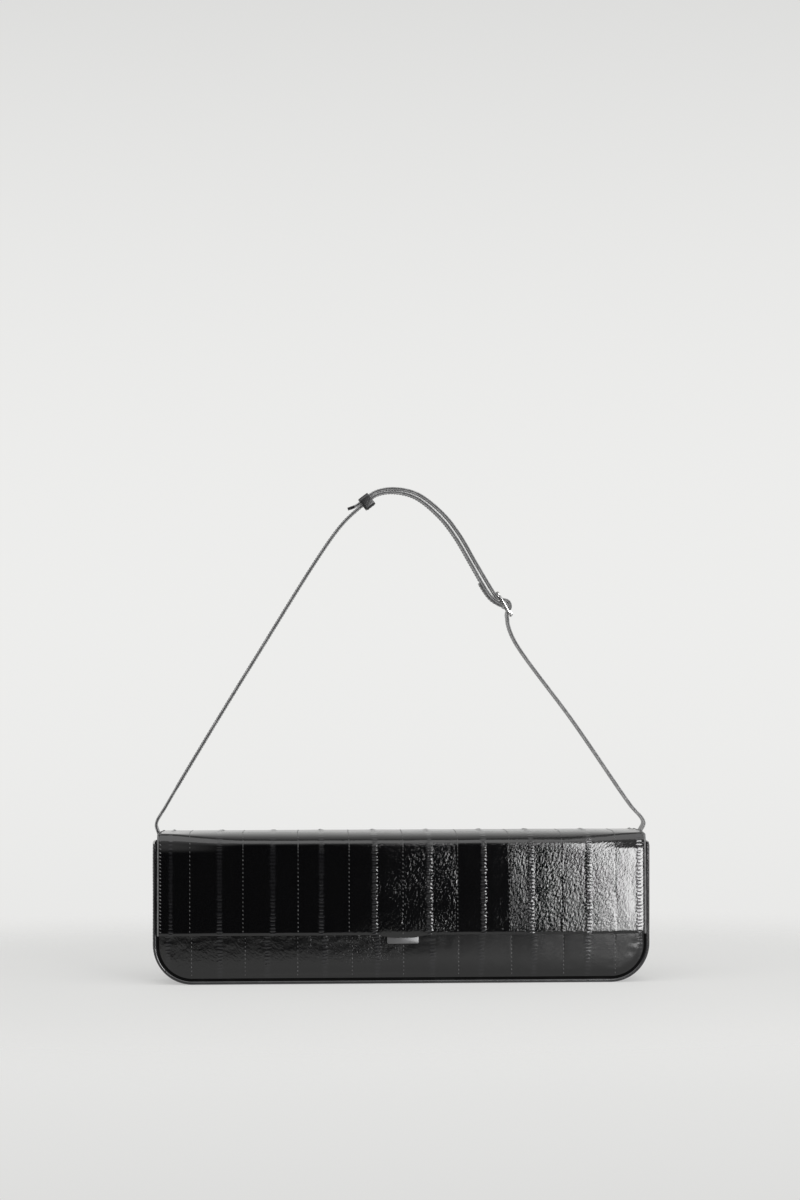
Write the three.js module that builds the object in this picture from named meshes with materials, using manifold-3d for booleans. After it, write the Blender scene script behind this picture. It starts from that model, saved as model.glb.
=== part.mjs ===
// A slim flap clutch in glossy black leather with an adjustable shoulder strap.
// Millimetres, +Z up, +X to the right, the front faces -Y. The origin is on the floor, under the
// middle of the body. Folding leather is cut where it folds, so that each side of a fold is a piece.

import * as THREE from "three";
import { mergeVertices } from "three/addons/utils/BufferGeometryUtils.js";
import Module from "manifold-3d";

const wasm = await Module();
wasm.setup();

// Clearances
const layerGap = 0.2;
const seamGap = 0.3;

// Body
const bodyWidth = 340;
const bodyHeight = 96;
const bodyDepth = 40;
const cornerRadius = 27;
const panelThickness = 1.2;
const gussetThickness = 1.4;
const boardThickness = 1.4;
const baseBoardThickness = 2;
const liningThickness = 0.7;
const mouthDrop = 1;
const pipingDiameter = 3.2;
const pipingLift = 0.2;
const backSeamDrop = 3;

// Slip pocket on the lining of the back wall
const pocketWidth = 130;
const pocketHeight = 58;
const pocketThickness = 0.8;
const pocketDrop = 14;
const pocketCornerRadius = 8;

// Flap
const flapRise = 8.5;
const flapReveal = 32;
const flapStandOff = 0.3;
const flapLean = THREE.MathUtils.degToRad(2.4);
const flapLeather = 1.2;
const flapBoard = 1.2;
const flapLining = 0.7;
const flapEndClearance = 1.2;
const flapCornerRadius = 3;
const flapBoardMargin = 3;
const backRollRadius = 9;
const frontRollRadius = 11;

// Clasp plate on the flap's lower edge, and the hidden magnets
const claspWidth = 21.7;
const claspLipHeight = 5;
const claspLipSetBack = 1.1;
const claspCornerRadius = 1.2;
const claspTongueWidth = 16;
const claspTongueHeight = 14;
const claspTongueThickness = 0.9;
const claspRivetSpacing = 9;
const claspRivetShank = 2;
const claspRivetHead = 4.4;
const magnetDiameter = 14;
const magnetThickness = 1;
const magnetHeight = 60;

// Strap
const strapWidth = 11;
const strapThickness = 2;
const strapDrop = 232;
const strapBackClearance = 0.8;
const strapPivotRise = 7.5;
const strapEndDepth = 22;
const strapFootBulge = 2.2;
const strapBulgeRise = 3.2;
const strapLean = 4.2;
const strapLeanRise = 15.6;
const strapLegBow = 1.5;
const strapHoleDiameter = 2.4;
const strapHoleSpacing = 20;
const strapHoleCount = 4;
const strapFold = 1.2;
const strapFoldSpans = 3;
const endRivetHead = 8;
const endRivetHeadThickness = 0.8;
const endRivetShank = 3;
const archX = -6;
const tailLift = 0.15;
const tailTipLift = 2;
const tailPastKeeper = 13.5;
const leftShoulder = [-36.4, 24.9];
const rightShoulder = [25.4, -6.4];
// Across and below the peak
const archBends = [[0, 0], [16, 3.4], [33.1, 16.9], [44.2, 31.1], [55.3, 50]];
// Down the strap from the buckle's bar, and outside it
const eyeBends = [[-16, -5.9], [-9.5, -5], [-4.6, -2.8], [-1.2, -0.6]];
const buckleBends = [[13, -4.8], [8.8, -3.1], [5.3, -1.5], [4.1, 0.6], [2.7, 2.6]];
const buckleCrown = [0, 3.75];
const tailBends = [[-2.4, 3.2], [-4.7, 0.85], [-7, -1.4], [-9.4, -2.05], [-13, -2.3]];
// Lift of the punched strap off the stitched one, point by point from the buckle to the keeper
const tailSlack = [1.1, 1.2, 1.1, 0.7, 0.25, tailLift, tailLift, 0.35];

// Buckle
const buckleTilt = THREE.MathUtils.degToRad(60);
const buckleAcross = 78.7;
const buckleBelow = 78.6;
const buckleLength = 20;
const buckleBarFromTop = 11.4;
const buckleEndBar = 2;
const buckleSideBar = 2;
const buckleBar = 1.6;
const buckleThickness = 1.6;
const buckleSideClearance = 0.6;
const buckleCornerRadius = 2;
const eyeClearance = 0.15;
const eyeWall = 1.1;
const prongWidth = 1.8;
const prongThickness = 1.2;
const prongClearance = 0.5;
const prongSlotLength = 6;

// Sliding keeper
const keeperTilt = THREE.MathUtils.degToRad(37.5);
const keeperAcross = -16.9;
const keeperBelow = 6.8;
const keeperLength = 7.5;
const keeperThickness = 1.4;
const keeperSideClearance = 0.6;
const keeperTopClearance = 0.45;
const keeperHang = 2.2;

// Depths in Y that follow from the sizes above
const frontFace = -bodyDepth / 2;
const backFace = bodyDepth / 2;
const boardFace = bodyDepth / 2 - panelThickness - layerGap;
const liningFace = boardFace - boardThickness - layerGap;
const pocketFace = liningFace - liningThickness - layerGap;
const flapLiningFace = frontFace - flapStandOff;
const flapBoardFace = flapLiningFace - flapLining - layerGap;
const flapLeatherFace = flapBoardFace - flapBoard - layerGap;
const flapFace = flapLeatherFace - flapLeather;
const frontRollY = flapFace + frontRollRadius;
const backFoldY = backFace - backRollRadius;
const strapY = liningFace - liningThickness - strapBackClearance - strapWidth / 2;

// Insets from the body's outline
const pipingRadius = pipingDiameter / 2;
const pipingInset = pipingRadius + pipingLift;
const panelInset = pipingInset + pipingRadius + seamGap;
const gussetHalfDepth = bodyDepth / 2 - panelInset;
const liningSideInset = gussetThickness + strapThickness + 2 * layerGap;
const liningBaseInset = gussetThickness + baseBoardThickness + 2 * layerGap;
const flapHalf = bodyWidth / 2 - liningSideInset - flapEndClearance;
const strapFootX = bodyWidth / 2 - gussetThickness - layerGap - strapThickness / 2;

// Heights
const mouthTop = bodyHeight - mouthDrop;
const flapTop = bodyHeight + flapRise;
const frontRollZ = flapTop - frontRollRadius;
const backRollZ = flapTop - backRollRadius;
const backSeamZ = backRollZ - backSeamDrop;
const claspRivetZ = flapReveal + claspTongueHeight / 2;
const strapPivotZ = flapTop + strapPivotRise;
const strapEndTop = strapPivotZ - strapWidth / 2 - seamGap;
const strapEndBottom = bodyHeight - strapEndDepth;
const endRivetZ = strapEndBottom + strapWidth / 2;
const archTop = flapTop + strapDrop;

// Fits round the strap
const strapPitch = strapThickness + layerGap;
const eyeRadius = Math.hypot(buckleBar, buckleThickness) / 2 + eyeClearance;

// Counts that set how finely curves are faceted
const arcSegments = 8;
const pipingSides = 4;
const pipingSteps = 88;
const roundSides = 20;
const stepsPerSpan = 4;

// Finishes
const finishes = {
  leather: { color: 0x0b0b0c, roughness: 0.22, metalness: 0 },
  lining: { color: 0x1d1c1c, roughness: 0.85, metalness: 0 },
  board: { color: 0x8d7d66, roughness: 0.9, metalness: 0 },
  metal: { color: 0x8e8f92, roughness: 0.3, metalness: 1 },
  magnet: { color: 0xb9bbbf, roughness: 0.25, metalness: 1 },
};

const bag = new THREE.Group();

// The flap's front hangs from the front roll and leans out, held off the wall by the clasp plate.
// Its pieces are drawn upright, and the group turns them about the fold.
const flapHang = new THREE.Group();
flapHang.position.set(0, flapFace, frontRollZ);
flapHang.rotation.x = -flapLean;
bag.add(flapHang);
const flapFront = new THREE.Group();
flapFront.position.set(0, -flapFace, -frontRollZ);
flapHang.add(flapFront);

function addMesh(parent, name, geometry, finish) {
  const mesh = new THREE.Mesh(geometry, new THREE.MeshStandardMaterial(finishes[finish]));
  mesh.name = name;
  parent.add(mesh);
}

// Booleans

function solidOf(geometry) {
  const bare = geometry.clone();
  bare.deleteAttribute("normal");
  bare.deleteAttribute("uv");
  const merged = mergeVertices(bare, 1e-3);
  return new wasm.Manifold(new wasm.Mesh({
    numProp: 3,
    vertProperties: new Float32Array(merged.attributes.position.array),
    triVerts: new Uint32Array(merged.index.array),
  }));
}

function geometryOf(solid) {
  const mesh = solid.getMesh();
  const geometry = new THREE.BufferGeometry();
  geometry.setAttribute("position", new THREE.BufferAttribute(new Float32Array(mesh.vertProperties), 3));
  geometry.setIndex(new THREE.BufferAttribute(new Uint32Array(mesh.triVerts), 1));
  geometry.computeVertexNormals();
  return geometry;
}

function cut(geometry, ...tools) {
  return geometryOf(tools.reduce((rest, tool) => rest.subtract(solidOf(tool)), solidOf(geometry)));
}

function join(geometry, ...others) {
  return geometryOf(others.reduce((sum, other) => sum.add(solidOf(other)), solidOf(geometry)));
}

function common(geometry, mask) {
  return geometryOf(solidOf(geometry).intersect(solidOf(mask)));
}

// Outlines and extrusions

function extrude(shape, depth) {
  return new THREE.ExtrudeGeometry(shape, { depth, bevelEnabled: false, curveSegments: arcSegments });
}

// A shape drawn in X and Z, made solid between two depths in Y.
function plate(shape, front, back) {
  return extrude(shape, back - front).rotateX(Math.PI / 2).translate(0, back, 0);
}

// A section drawn in Y and Z, made solid between two places in X.
function bar(section, left, right) {
  const turn = new THREE.Matrix4().makeBasis(
    new THREE.Vector3(0, 1, 0),
    new THREE.Vector3(0, 0, 1),
    new THREE.Vector3(1, 0, 0),
  );
  return extrude(section, right - left).applyMatrix4(turn).translate(left, 0, 0);
}

function rectangle(left, bottom, right, top) {
  return new THREE.Shape([
    new THREE.Vector2(left, bottom),
    new THREE.Vector2(right, bottom),
    new THREE.Vector2(right, top),
    new THREE.Vector2(left, top),
  ]);
}

// A rectangle whose two lower corners are rounded.
function apron(half, bottom, top, radius) {
  const shape = new THREE.Shape();
  shape.moveTo(-half, top);
  shape.lineTo(-half, bottom + radius);
  shape.absarc(-half + radius, bottom + radius, radius, Math.PI, 1.5 * Math.PI, false);
  shape.lineTo(half - radius, bottom);
  shape.absarc(half - radius, bottom + radius, radius, 1.5 * Math.PI, 2 * Math.PI, false);
  shape.lineTo(half, top);
  shape.closePath();
  return shape;
}

// The bag's front outline, drawn in from the sides and from the floor.
function bodyOutline(sideInset, baseInset, top) {
  return apron(bodyWidth / 2 - sideInset, baseInset, top, cornerRadius - Math.max(sideInset, baseInset));
}

// A round plug along Y.
function disc(x, z, diameter, front, back) {
  const round = new THREE.CylinderGeometry(diameter / 2, diameter / 2, back - front, roundSides);
  return round.translate(x, (front + back) / 2, z);
}

// A round plug along X.
function discAcross(y, z, diameter, left, right) {
  const round = new THREE.CylinderGeometry(diameter / 2, diameter / 2, right - left, roundSides);
  return round.rotateZ(Math.PI / 2).translate((left + right) / 2, y, z);
}

// Walls of the body

function addPanels() {
  const front = bodyOutline(panelInset, panelInset, mouthTop);
  addMesh(bag, "front_panel", plate(front, frontFace, frontFace + panelThickness), "leather");
  const back = bodyOutline(panelInset, panelInset, backSeamZ - seamGap);
  addMesh(bag, "back_panel", plate(back, backFace - panelThickness, backFace), "leather");
}

function addBoards() {
  const wall = bodyOutline(panelInset, panelInset, backSeamZ - seamGap);
  const front = plate(wall, -boardFace, boardThickness - boardFace);
  const magnetSeat = disc(0, magnetHeight, magnetDiameter + 2 * seamGap, frontFace, 0);
  addMesh(bag, "front_board", cut(front, magnetSeat), "board");
  addMesh(bag, "back_board", plate(wall, boardFace - boardThickness, boardFace), "board");
  const half = bodyWidth / 2 - cornerRadius;
  const bottom = gussetThickness + layerGap;
  const base = rectangle(-half, bottom, half, bottom + baseBoardThickness);
  addMesh(bag, "base_board", plate(base, -gussetHalfDepth, gussetHalfDepth), "board");
}

// One side gusset: the straight side and the rounded corner below it.
function gussetSection(side) {
  const half = bodyWidth / 2;
  const centreX = side * (half - cornerRadius);
  const start = side < 0 ? Math.PI : 0;
  const end = side < 0 ? 1.5 * Math.PI : -0.5 * Math.PI;
  const clockwise = side > 0;
  const shape = new THREE.Shape();
  shape.moveTo(side * half, bodyHeight);
  shape.lineTo(side * half, cornerRadius);
  shape.absarc(centreX, cornerRadius, cornerRadius, start, end, clockwise);
  shape.lineTo(centreX, gussetThickness);
  shape.absarc(centreX, cornerRadius, cornerRadius - gussetThickness, end, start, !clockwise);
  shape.lineTo(side * (half - gussetThickness), bodyHeight);
  shape.closePath();
  return shape;
}

function addGussets() {
  for (const [name, side] of [["left_gusset", -1], ["right_gusset", 1]]) {
    addMesh(bag, name, plate(gussetSection(side), -gussetHalfDepth, gussetHalfDepth), "leather");
  }
  const half = bodyWidth / 2 - cornerRadius - seamGap;
  const base = rectangle(-half, 0, half, gussetThickness);
  addMesh(bag, "base_gusset", plate(base, -gussetHalfDepth, gussetHalfDepth), "leather");
}

// The line of a corded welt: down one side, along the base and up the other side.
function pipingPath(y) {
  const half = bodyWidth / 2 - pipingInset;
  const radius = cornerRadius - pipingInset;
  const track = new THREE.Path();
  track.moveTo(-half, bodyHeight);
  track.lineTo(-half, cornerRadius);
  track.absarc(radius - half, cornerRadius, radius, Math.PI, 1.5 * Math.PI, false);
  track.lineTo(half - radius, pipingInset);
  track.absarc(half - radius, cornerRadius, radius, 1.5 * Math.PI, 2 * Math.PI, false);
  track.lineTo(half, bodyHeight);
  const path = new THREE.Curve();
  path.getPoint = (t, target = new THREE.Vector3()) => {
    const point = track.getPoint(t);
    return target.set(point.x, y, point.y);
  };
  return path;
}

function addPiping() {
  const section = new THREE.Shape().absarc(0, 0, pipingRadius, 0, 2 * Math.PI, false);
  for (const [name, side] of [["front_piping", -1], ["back_piping", 1]]) {
    const extrudePath = pipingPath(side * (bodyDepth / 2 - pipingInset));
    const settings = { steps: pipingSteps, curveSegments: pipingSides, bevelEnabled: false, extrudePath };
    addMesh(bag, name, new THREE.ExtrudeGeometry(section, settings), "leather");
  }
}

// Lining, pocket and magnets

function addLining() {
  const outside = plate(bodyOutline(liningSideInset, liningBaseInset, mouthTop), -liningFace, liningFace);
  const sideInset = liningSideInset + liningThickness;
  const baseInset = liningBaseInset + liningThickness;
  const innerFace = liningFace - liningThickness;
  const inside = plate(bodyOutline(sideInset, baseInset, bodyHeight + flapTop), -innerFace, innerFace);
  const rivetHole = discAcross(strapY, endRivetZ, endRivetShank + 2 * layerGap, -bodyWidth, bodyWidth);
  addMesh(bag, "lining", cut(outside, inside, rivetHole), "lining");
  const top = mouthTop - pocketDrop;
  const pocket = apron(pocketWidth / 2, top - pocketHeight, top, pocketCornerRadius);
  addMesh(bag, "slip_pocket", plate(pocket, pocketFace - pocketThickness, pocketFace), "lining");
}

function addMagnets() {
  const seat = layerGap - boardFace;
  const front = disc(0, magnetHeight, magnetDiameter, seat, seat + magnetThickness);
  addMesh(bag, "front_magnet", front, "magnet");
  const flap = disc(0, magnetHeight, magnetDiameter, flapBoardFace - magnetThickness, flapBoardFace);
  addMesh(flapFront, "flap_magnet", flap, "magnet");
}

// Flap

// The fixed root of the flap: it leaves the seam on the back and rolls over the top edge.
function addFlapRoot() {
  const section = new THREE.Shape();
  section.moveTo(backFace, backSeamZ);
  section.lineTo(backFace, backRollZ);
  section.absarc(backFoldY, backRollZ, backRollRadius, 0, Math.PI / 2, false);
  section.lineTo(backFoldY, flapTop - flapLeather);
  section.absarc(backFoldY, backRollZ, backRollRadius - flapLeather, Math.PI / 2, 0, true);
  section.lineTo(backFace - flapLeather, backSeamZ);
  section.closePath();
  addMesh(bag, "flap_root", bar(section, -flapHalf, flapHalf), "leather");
}

// A layer of the flap's top, from the back fold over the front roll, a depth under the outer face.
function flapTopLayer(depth, thickness) {
  const outer = frontRollRadius - depth;
  const inner = outer - thickness;
  const section = new THREE.Shape();
  section.moveTo(backFoldY - seamGap, frontRollZ + inner);
  section.lineTo(backFoldY - seamGap, frontRollZ + outer);
  section.lineTo(frontRollY, frontRollZ + outer);
  section.absarc(frontRollY, frontRollZ, outer, Math.PI / 2, Math.PI, false);
  section.lineTo(frontRollY - inner, frontRollZ);
  section.absarc(frontRollY, frontRollZ, inner, Math.PI, Math.PI / 2, true);
  section.closePath();
  return bar(section, -flapHalf, flapHalf);
}

function addFlapTop() {
  addMesh(bag, "flap_top", flapTopLayer(0, flapLeather), "leather");
  addMesh(bag, "flap_top_lining", flapTopLayer(flapLeather + layerGap, flapLining), "lining");
}

function addFlapFront() {
  const top = frontRollZ - seamGap;
  const outline = apron(flapHalf, flapReveal, top, flapCornerRadius);
  addMesh(flapFront, "flap_front", plate(outline, flapFace, flapLeatherFace), "leather");

  const low = flapReveal + flapBoardMargin;
  const boardOutline = apron(flapHalf - flapBoardMargin, low, top, flapCornerRadius);
  const board = plate(boardOutline, flapBoardFace - flapBoard, flapBoardFace);
  const notchHalf = claspTongueWidth / 2 + seamGap;
  const notchTop = flapReveal + claspTongueHeight + seamGap;
  const notch = plate(rectangle(-notchHalf, 0, notchHalf, notchTop), flapFace, frontFace);
  const magnetSeat = disc(0, magnetHeight, magnetDiameter + 2 * seamGap, flapFace, frontFace);
  addMesh(flapFront, "flap_board", cut(board, notch, magnetSeat), "board");

  const lining = plate(outline, flapLiningFace - flapLining, flapLiningFace);
  const headSeats = claspRivetPlaces().map((x) => {
    return disc(x, claspRivetZ, claspRivetHead + 2 * seamGap, flapFace, frontFace);
  });
  addMesh(flapFront, "flap_front_lining", cut(lining, ...headSeats), "lining");
}

// Clasp

function claspRivetPlaces() {
  return [-claspRivetSpacing / 2, claspRivetSpacing / 2];
}

// The plate's lip is as thick as the room between the leaning flap and the wall that it rests on.
function addClasp() {
  const lipTop = flapReveal - seamGap;
  const lipFront = flapFace + claspLipSetBack;
  const restsAt = (flapLiningFace - flapFace) / Math.cos(flapLean);
  const lipBack = flapFace + restsAt + (frontRollZ - lipTop) * Math.tan(flapLean);
  const lipOutline = apron(claspWidth / 2, lipTop - claspLipHeight, lipTop, claspCornerRadius);
  const lip = plate(lipOutline, lipFront, lipBack);
  const half = claspTongueWidth / 2;
  const tongueOutline = rectangle(-half, lipTop - claspLipHeight / 2, half, flapReveal + claspTongueHeight);
  const tongueFront = flapBoardFace - claspTongueThickness;
  const tongue = plate(tongueOutline, tongueFront, flapBoardFace);
  const holes = claspRivetPlaces().map((x) => {
    return disc(x, claspRivetZ, claspRivetShank + 2 * layerGap, flapFace, frontFace);
  });
  addMesh(flapFront, "clasp_plate", cut(join(lip, tongue), ...holes), "metal");

  const names = ["clasp_rivet_left", "clasp_rivet_right"];
  claspRivetPlaces().forEach((x, i) => {
    const head = disc(x, claspRivetZ, claspRivetHead, flapLiningFace - flapLining, flapLiningFace);
    const shank = disc(x, claspRivetZ, claspRivetShank, tongueFront, flapLiningFace);
    addMesh(flapFront, names[i], join(head, shank), "metal");
  });
}

// Routes of the two straps, drawn with X across and Y for height

function archPoint(across, below) {
  return new THREE.Vector3(archX + across, archTop - below, 0);
}

// The direction square to a route, on its left as the route runs.
function leftOf(along) {
  return new THREE.Vector3(-along.y, along.x, 0);
}

const buckleOrigin = archPoint(buckleAcross, buckleBelow);
const buckleDown = new THREE.Vector3(Math.cos(buckleTilt), -Math.sin(buckleTilt), 0);

// A point beside the buckle: how far down the strap from the centre bar, and how far outside it.
function bucklePoint(down, out) {
  return buckleOrigin.clone().addScaledVector(buckleDown, down).addScaledVector(leftOf(buckleDown), out);
}

const keeperCentre = archPoint(keeperAcross, keeperBelow);
const keeperAlong = new THREE.Vector3(Math.cos(keeperTilt), Math.sin(keeperTilt), 0);

// A point beside the sliding keeper, on the straight stretch that it slides along.
function keeperPoint(along, out) {
  return keeperCentre.clone().addScaledVector(keeperAlong, along).addScaledVector(leftOf(keeperAlong), out);
}

// The end of a leg, from inside the gusset to where the leg leans over the bag.
function footPoints(side) {
  return [
    new THREE.Vector3(side * strapFootX, strapEndBottom, 0),
    new THREE.Vector3(side * strapFootX, (strapEndBottom + bodyHeight) / 2, 0),
    new THREE.Vector3(side * strapFootX, bodyHeight, 0),
    new THREE.Vector3(side * (strapFootX + strapFootBulge), flapTop + strapBulgeRise, 0),
    new THREE.Vector3(side * (strapFootX - strapLean), flapTop + strapLeanRise, 0),
  ];
}

// The middle of a leg, bowed to the left of the line from its foot to its shoulder.
function legMiddle(foot, shoulder) {
  const along = shoulder.clone().sub(foot).normalize();
  return foot.clone().lerp(shoulder, 0.5).addScaledVector(leftOf(along), strapLegBow);
}

// Centre line of the stitched strap, from the left gusset over the peak to the buckle's bar.
function buckleRoute() {
  const foot = footPoints(-1);
  const shoulder = archPoint(...leftShoulder);
  return new THREE.CatmullRomCurve3([
    ...foot,
    legMiddle(foot.at(-1), shoulder),
    shoulder,
    keeperPoint(-keeperLength, 0),
    keeperPoint(0, 0),
    keeperPoint(keeperLength, 0),
    ...archBends.map((bend) => archPoint(...bend)),
    ...eyeBends.map((bend) => bucklePoint(...bend)),
  ]);
}

// Centre line of the punched strap, from the right gusset through the buckle to its free tip.
// Past the buckle it lies on the stitched strap, lifted off it by a little slack at each point.
function holeRoute(under) {
  const foot = footPoints(1);
  const shoulder = bucklePoint(...rightShoulder);
  const spans = under.points.length - 1;
  const tail = tailSlack.map((lift, i) => {
    const t = (spans - eyeBends.length - i) / spans;
    return under.getPoint(t).addScaledVector(leftOf(under.getTangent(t)), strapPitch + lift);
  });
  return new THREE.CatmullRomCurve3([
    ...foot,
    legMiddle(foot.at(-1), shoulder),
    shoulder,
    ...[...buckleBends, buckleCrown, ...tailBends].map((bend) => bucklePoint(...bend)),
    ...tail,
    keeperPoint(-tailPastKeeper, strapPitch + tailTipLift),
  ]);
}

// Straps

// Points along a centre line, a distance to its left, from one of its points to another.
function beside(curve, distance, firstPoint, lastPoint) {
  const spans = curve.points.length - 1;
  const steps = stepsPerSpan * (lastPoint - firstPoint);
  return Array.from({ length: steps + 1 }, (_, i) => {
    const t = (firstPoint + i / stepsPerSpan) / spans;
    return curve.getPoint(t).addScaledVector(leftOf(curve.getTangent(t)), distance);
  });
}

// The stitched strap's edges: it is thicker where its end is folded back round the buckle's bar.
function stitchedOutline(curve) {
  const last = curve.points.length - 1;
  const half = strapThickness / 2;
  const radius = eyeRadius + eyeWall;
  const outsideEye = (point) => point.distanceTo(buckleOrigin) > radius;
  const angleAt = (point) => Math.atan2(point.y - buckleOrigin.y, point.x - buckleOrigin.x);
  const left = beside(curve, half, 0, last).filter(outsideEye);
  const right = [
    ...beside(curve, -half, 0, last - strapFoldSpans),
    ...beside(curve, -half - strapFold, last - strapFoldSpans, last),
  ].filter(outsideEye);
  const start = angleAt(left.at(-1));
  const sweep = THREE.MathUtils.euclideanModulo(start - angleAt(right.at(-1)), 2 * Math.PI);
  const eye = Array.from({ length: roundSides - 1 }, (_, i) => {
    const angle = start - (sweep * (i + 1)) / roundSides;
    return new THREE.Vector3(Math.cos(angle), Math.sin(angle), 0).multiplyScalar(radius).add(buckleOrigin);
  });
  return [...left, ...eye, ...right.reverse()];
}

function punchedOutline(curve) {
  const last = curve.points.length - 1;
  const half = strapThickness / 2;
  return [...beside(curve, half, 0, last), ...beside(curve, -half, 0, last).reverse()];
}

function strapOf(outline) {
  return plate(new THREE.Shape(outline), strapY - strapWidth / 2, strapY + strapWidth / 2);
}

// The room between two heights, with a round lower end as wide as the strap.
function roundFoot(bottom, top) {
  const radius = strapWidth / 2;
  const shoulder = bottom + radius;
  const section = new THREE.Shape();
  section.moveTo(strapY - strapWidth, top);
  section.lineTo(strapY - strapWidth, shoulder);
  section.lineTo(strapY - radius, shoulder);
  section.absarc(strapY, shoulder, radius, Math.PI, 2 * Math.PI, false);
  section.lineTo(strapY + strapWidth, shoulder);
  section.lineTo(strapY + strapWidth, top);
  section.closePath();
  return bar(section, -bodyWidth, bodyWidth);
}

// Turns a shape made round the centre bar into the buckle's place.
function atBuckle(geometry) {
  return geometry.rotateY(buckleTilt).translate(buckleOrigin.x, strapY, buckleOrigin.y);
}

// A cut through the middle of the strap that lets the prong pass.
function prongSlot(fromDown, toDown) {
  const width = prongWidth + 2 * prongClearance;
  const slot = new THREE.BoxGeometry(toDown - fromDown, width, buckleLength);
  return atBuckle(slot.translate((fromDown + toDown) / 2, 0, 0));
}

// A round rod along Y, centred on the buckle's bar.
function barSleeve(radius, width) {
  return disc(0, 0, 2 * radius, -width / 2, width / 2);
}

// The adjusting holes, one spacing apart along the strap from the place that the prong is in.
function strapHoles(curve) {
  const pastCrown = tailBends.length + tailSlack.length + 1;
  const lengths = curve.getLengths();
  const inUse = lengths[Math.round((1 - pastCrown / (curve.points.length - 1)) * (lengths.length - 1))];
  const radius = strapHoleDiameter / 2;
  return Array.from({ length: strapHoleCount }, (_, i) => {
    const u = (inUse + (i + 1) * strapHoleSpacing) / lengths.at(-1);
    const out = leftOf(curve.getTangentAt(u));
    const place = curve.getPointAt(u);
    const hole = new THREE.CylinderGeometry(radius, radius, 2 * strapThickness, arcSegments);
    hole.rotateX(Math.PI / 2).rotateY(Math.atan2(out.x, out.y));
    return hole.translate(place.x, strapY, place.y);
  });
}

function addStraps() {
  const under = buckleRoute();
  const over = holeRoute(under);
  const stitched = strapOf(stitchedOutline(under));
  const punched = strapOf(punchedOutline(over));
  const eyeReach = eyeRadius + prongThickness + prongClearance;
  const eyeCuts = [atBuckle(barSleeve(eyeRadius, 2 * strapWidth)), prongSlot(-eyeReach, eyeReach)];
  const holes = [prongSlot(prongClearance, prongClearance + prongSlotLength), ...strapHoles(over)];

  const ends = roundFoot(strapEndBottom, strapEndTop);
  const legs = roundFoot(strapPivotZ - strapWidth / 2, archTop + strapDrop);
  const rivetHole = discAcross(strapY, endRivetZ, endRivetShank + 2 * layerGap, -bodyWidth, bodyWidth);
  addMesh(bag, "left_strap_end", cut(common(stitched, ends), rivetHole), "leather");
  addMesh(bag, "right_strap_end", cut(common(punched, ends), rivetHole), "leather");
  addMesh(bag, "buckle_strap", cut(common(stitched, legs), ...eyeCuts), "leather");
  addMesh(bag, "hole_strap", cut(common(punched, legs), ...holes), "leather");
}

// The rivets inside the mouth that hold the strap's ends to the side linings.
function addEndRivets() {
  const headOuter = bodyWidth / 2 - liningSideInset - liningThickness - layerGap;
  const headInner = headOuter - endRivetHeadThickness;
  const shankOuter = strapFootX + strapThickness / 2 - layerGap;
  for (const [name, side] of [["left_end_rivet", -1], ["right_end_rivet", 1]]) {
    const headEnds = [side * headInner, side * headOuter].sort((a, b) => a - b);
    const shankEnds = [side * headInner, side * shankOuter].sort((a, b) => a - b);
    const head = discAcross(strapY, endRivetZ, endRivetHead, ...headEnds);
    const shank = discAcross(strapY, endRivetZ, endRivetShank, ...shankEnds);
    addMesh(bag, name, join(head, shank), "metal");
  }
}

// Buckle and sliding keeper

function addBuckle() {
  const buckle = new THREE.Group();
  buckle.position.set(buckleOrigin.x, strapY, buckleOrigin.y);
  buckle.rotation.y = buckleTilt;
  bag.add(buckle);

  const top = -buckleBarFromTop;
  const bottom = top + buckleLength;
  const windowHalf = strapWidth / 2 + buckleSideClearance;
  const half = windowHalf + buckleSideBar;
  const r = buckleCornerRadius;
  const outline = new THREE.Shape();
  outline.absarc(top + r, r - half, r, Math.PI, 1.5 * Math.PI, false);
  outline.absarc(bottom - r, r - half, r, 1.5 * Math.PI, 2 * Math.PI, false);
  outline.absarc(bottom - r, half - r, r, 0, 0.5 * Math.PI, false);
  outline.absarc(top + r, half - r, r, 0.5 * Math.PI, Math.PI, false);
  outline.closePath();
  const frame = extrude(outline, buckleThickness).translate(0, 0, -buckleThickness / 2);
  const windows = [
    rectangle(top + buckleEndBar, -windowHalf, -buckleBar / 2, windowHalf),
    rectangle(buckleBar / 2, -windowHalf, bottom - buckleEndBar, windowHalf),
  ];
  const openings = windows.map((shape) => extrude(shape, buckleLength).translate(0, 0, -buckleLength / 2));
  addMesh(buckle, "buckle_frame", cut(frame, ...openings), "metal");

  const seat = buckleThickness / 2 + layerGap;
  const shaftOutline = rectangle(buckleBar / 2, seat, bottom - layerGap, seat + prongThickness);
  const shaft = plate(shaftOutline, -prongWidth / 2, prongWidth / 2);
  const prong = join(barSleeve(eyeRadius + prongThickness, prongWidth), shaft);
  addMesh(buckle, "buckle_prong", cut(prong, barSleeve(eyeRadius, strapWidth)), "metal");
}

function addKeeper() {
  const keeper = new THREE.Group();
  keeper.position.set(keeperCentre.x, strapY, keeperCentre.y);
  keeper.rotation.y = -keeperTilt;
  bag.add(keeper);

  const half = strapWidth / 2 + keeperSideClearance;
  const top = strapThickness / 2 + strapPitch + tailLift + keeperTopClearance;
  const bottom = -strapThickness / 2 - keeperHang;
  const wall = keeperThickness;
  const outside = rectangle(-half - wall, bottom - wall, half + wall, top + wall);
  const loop = bar(outside, -keeperLength / 2, keeperLength / 2);
  const inside = bar(rectangle(-half, bottom, half, top), -keeperLength, keeperLength);
  addMesh(keeper, "sliding_keeper", cut(loop, inside), "leather");
}

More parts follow.
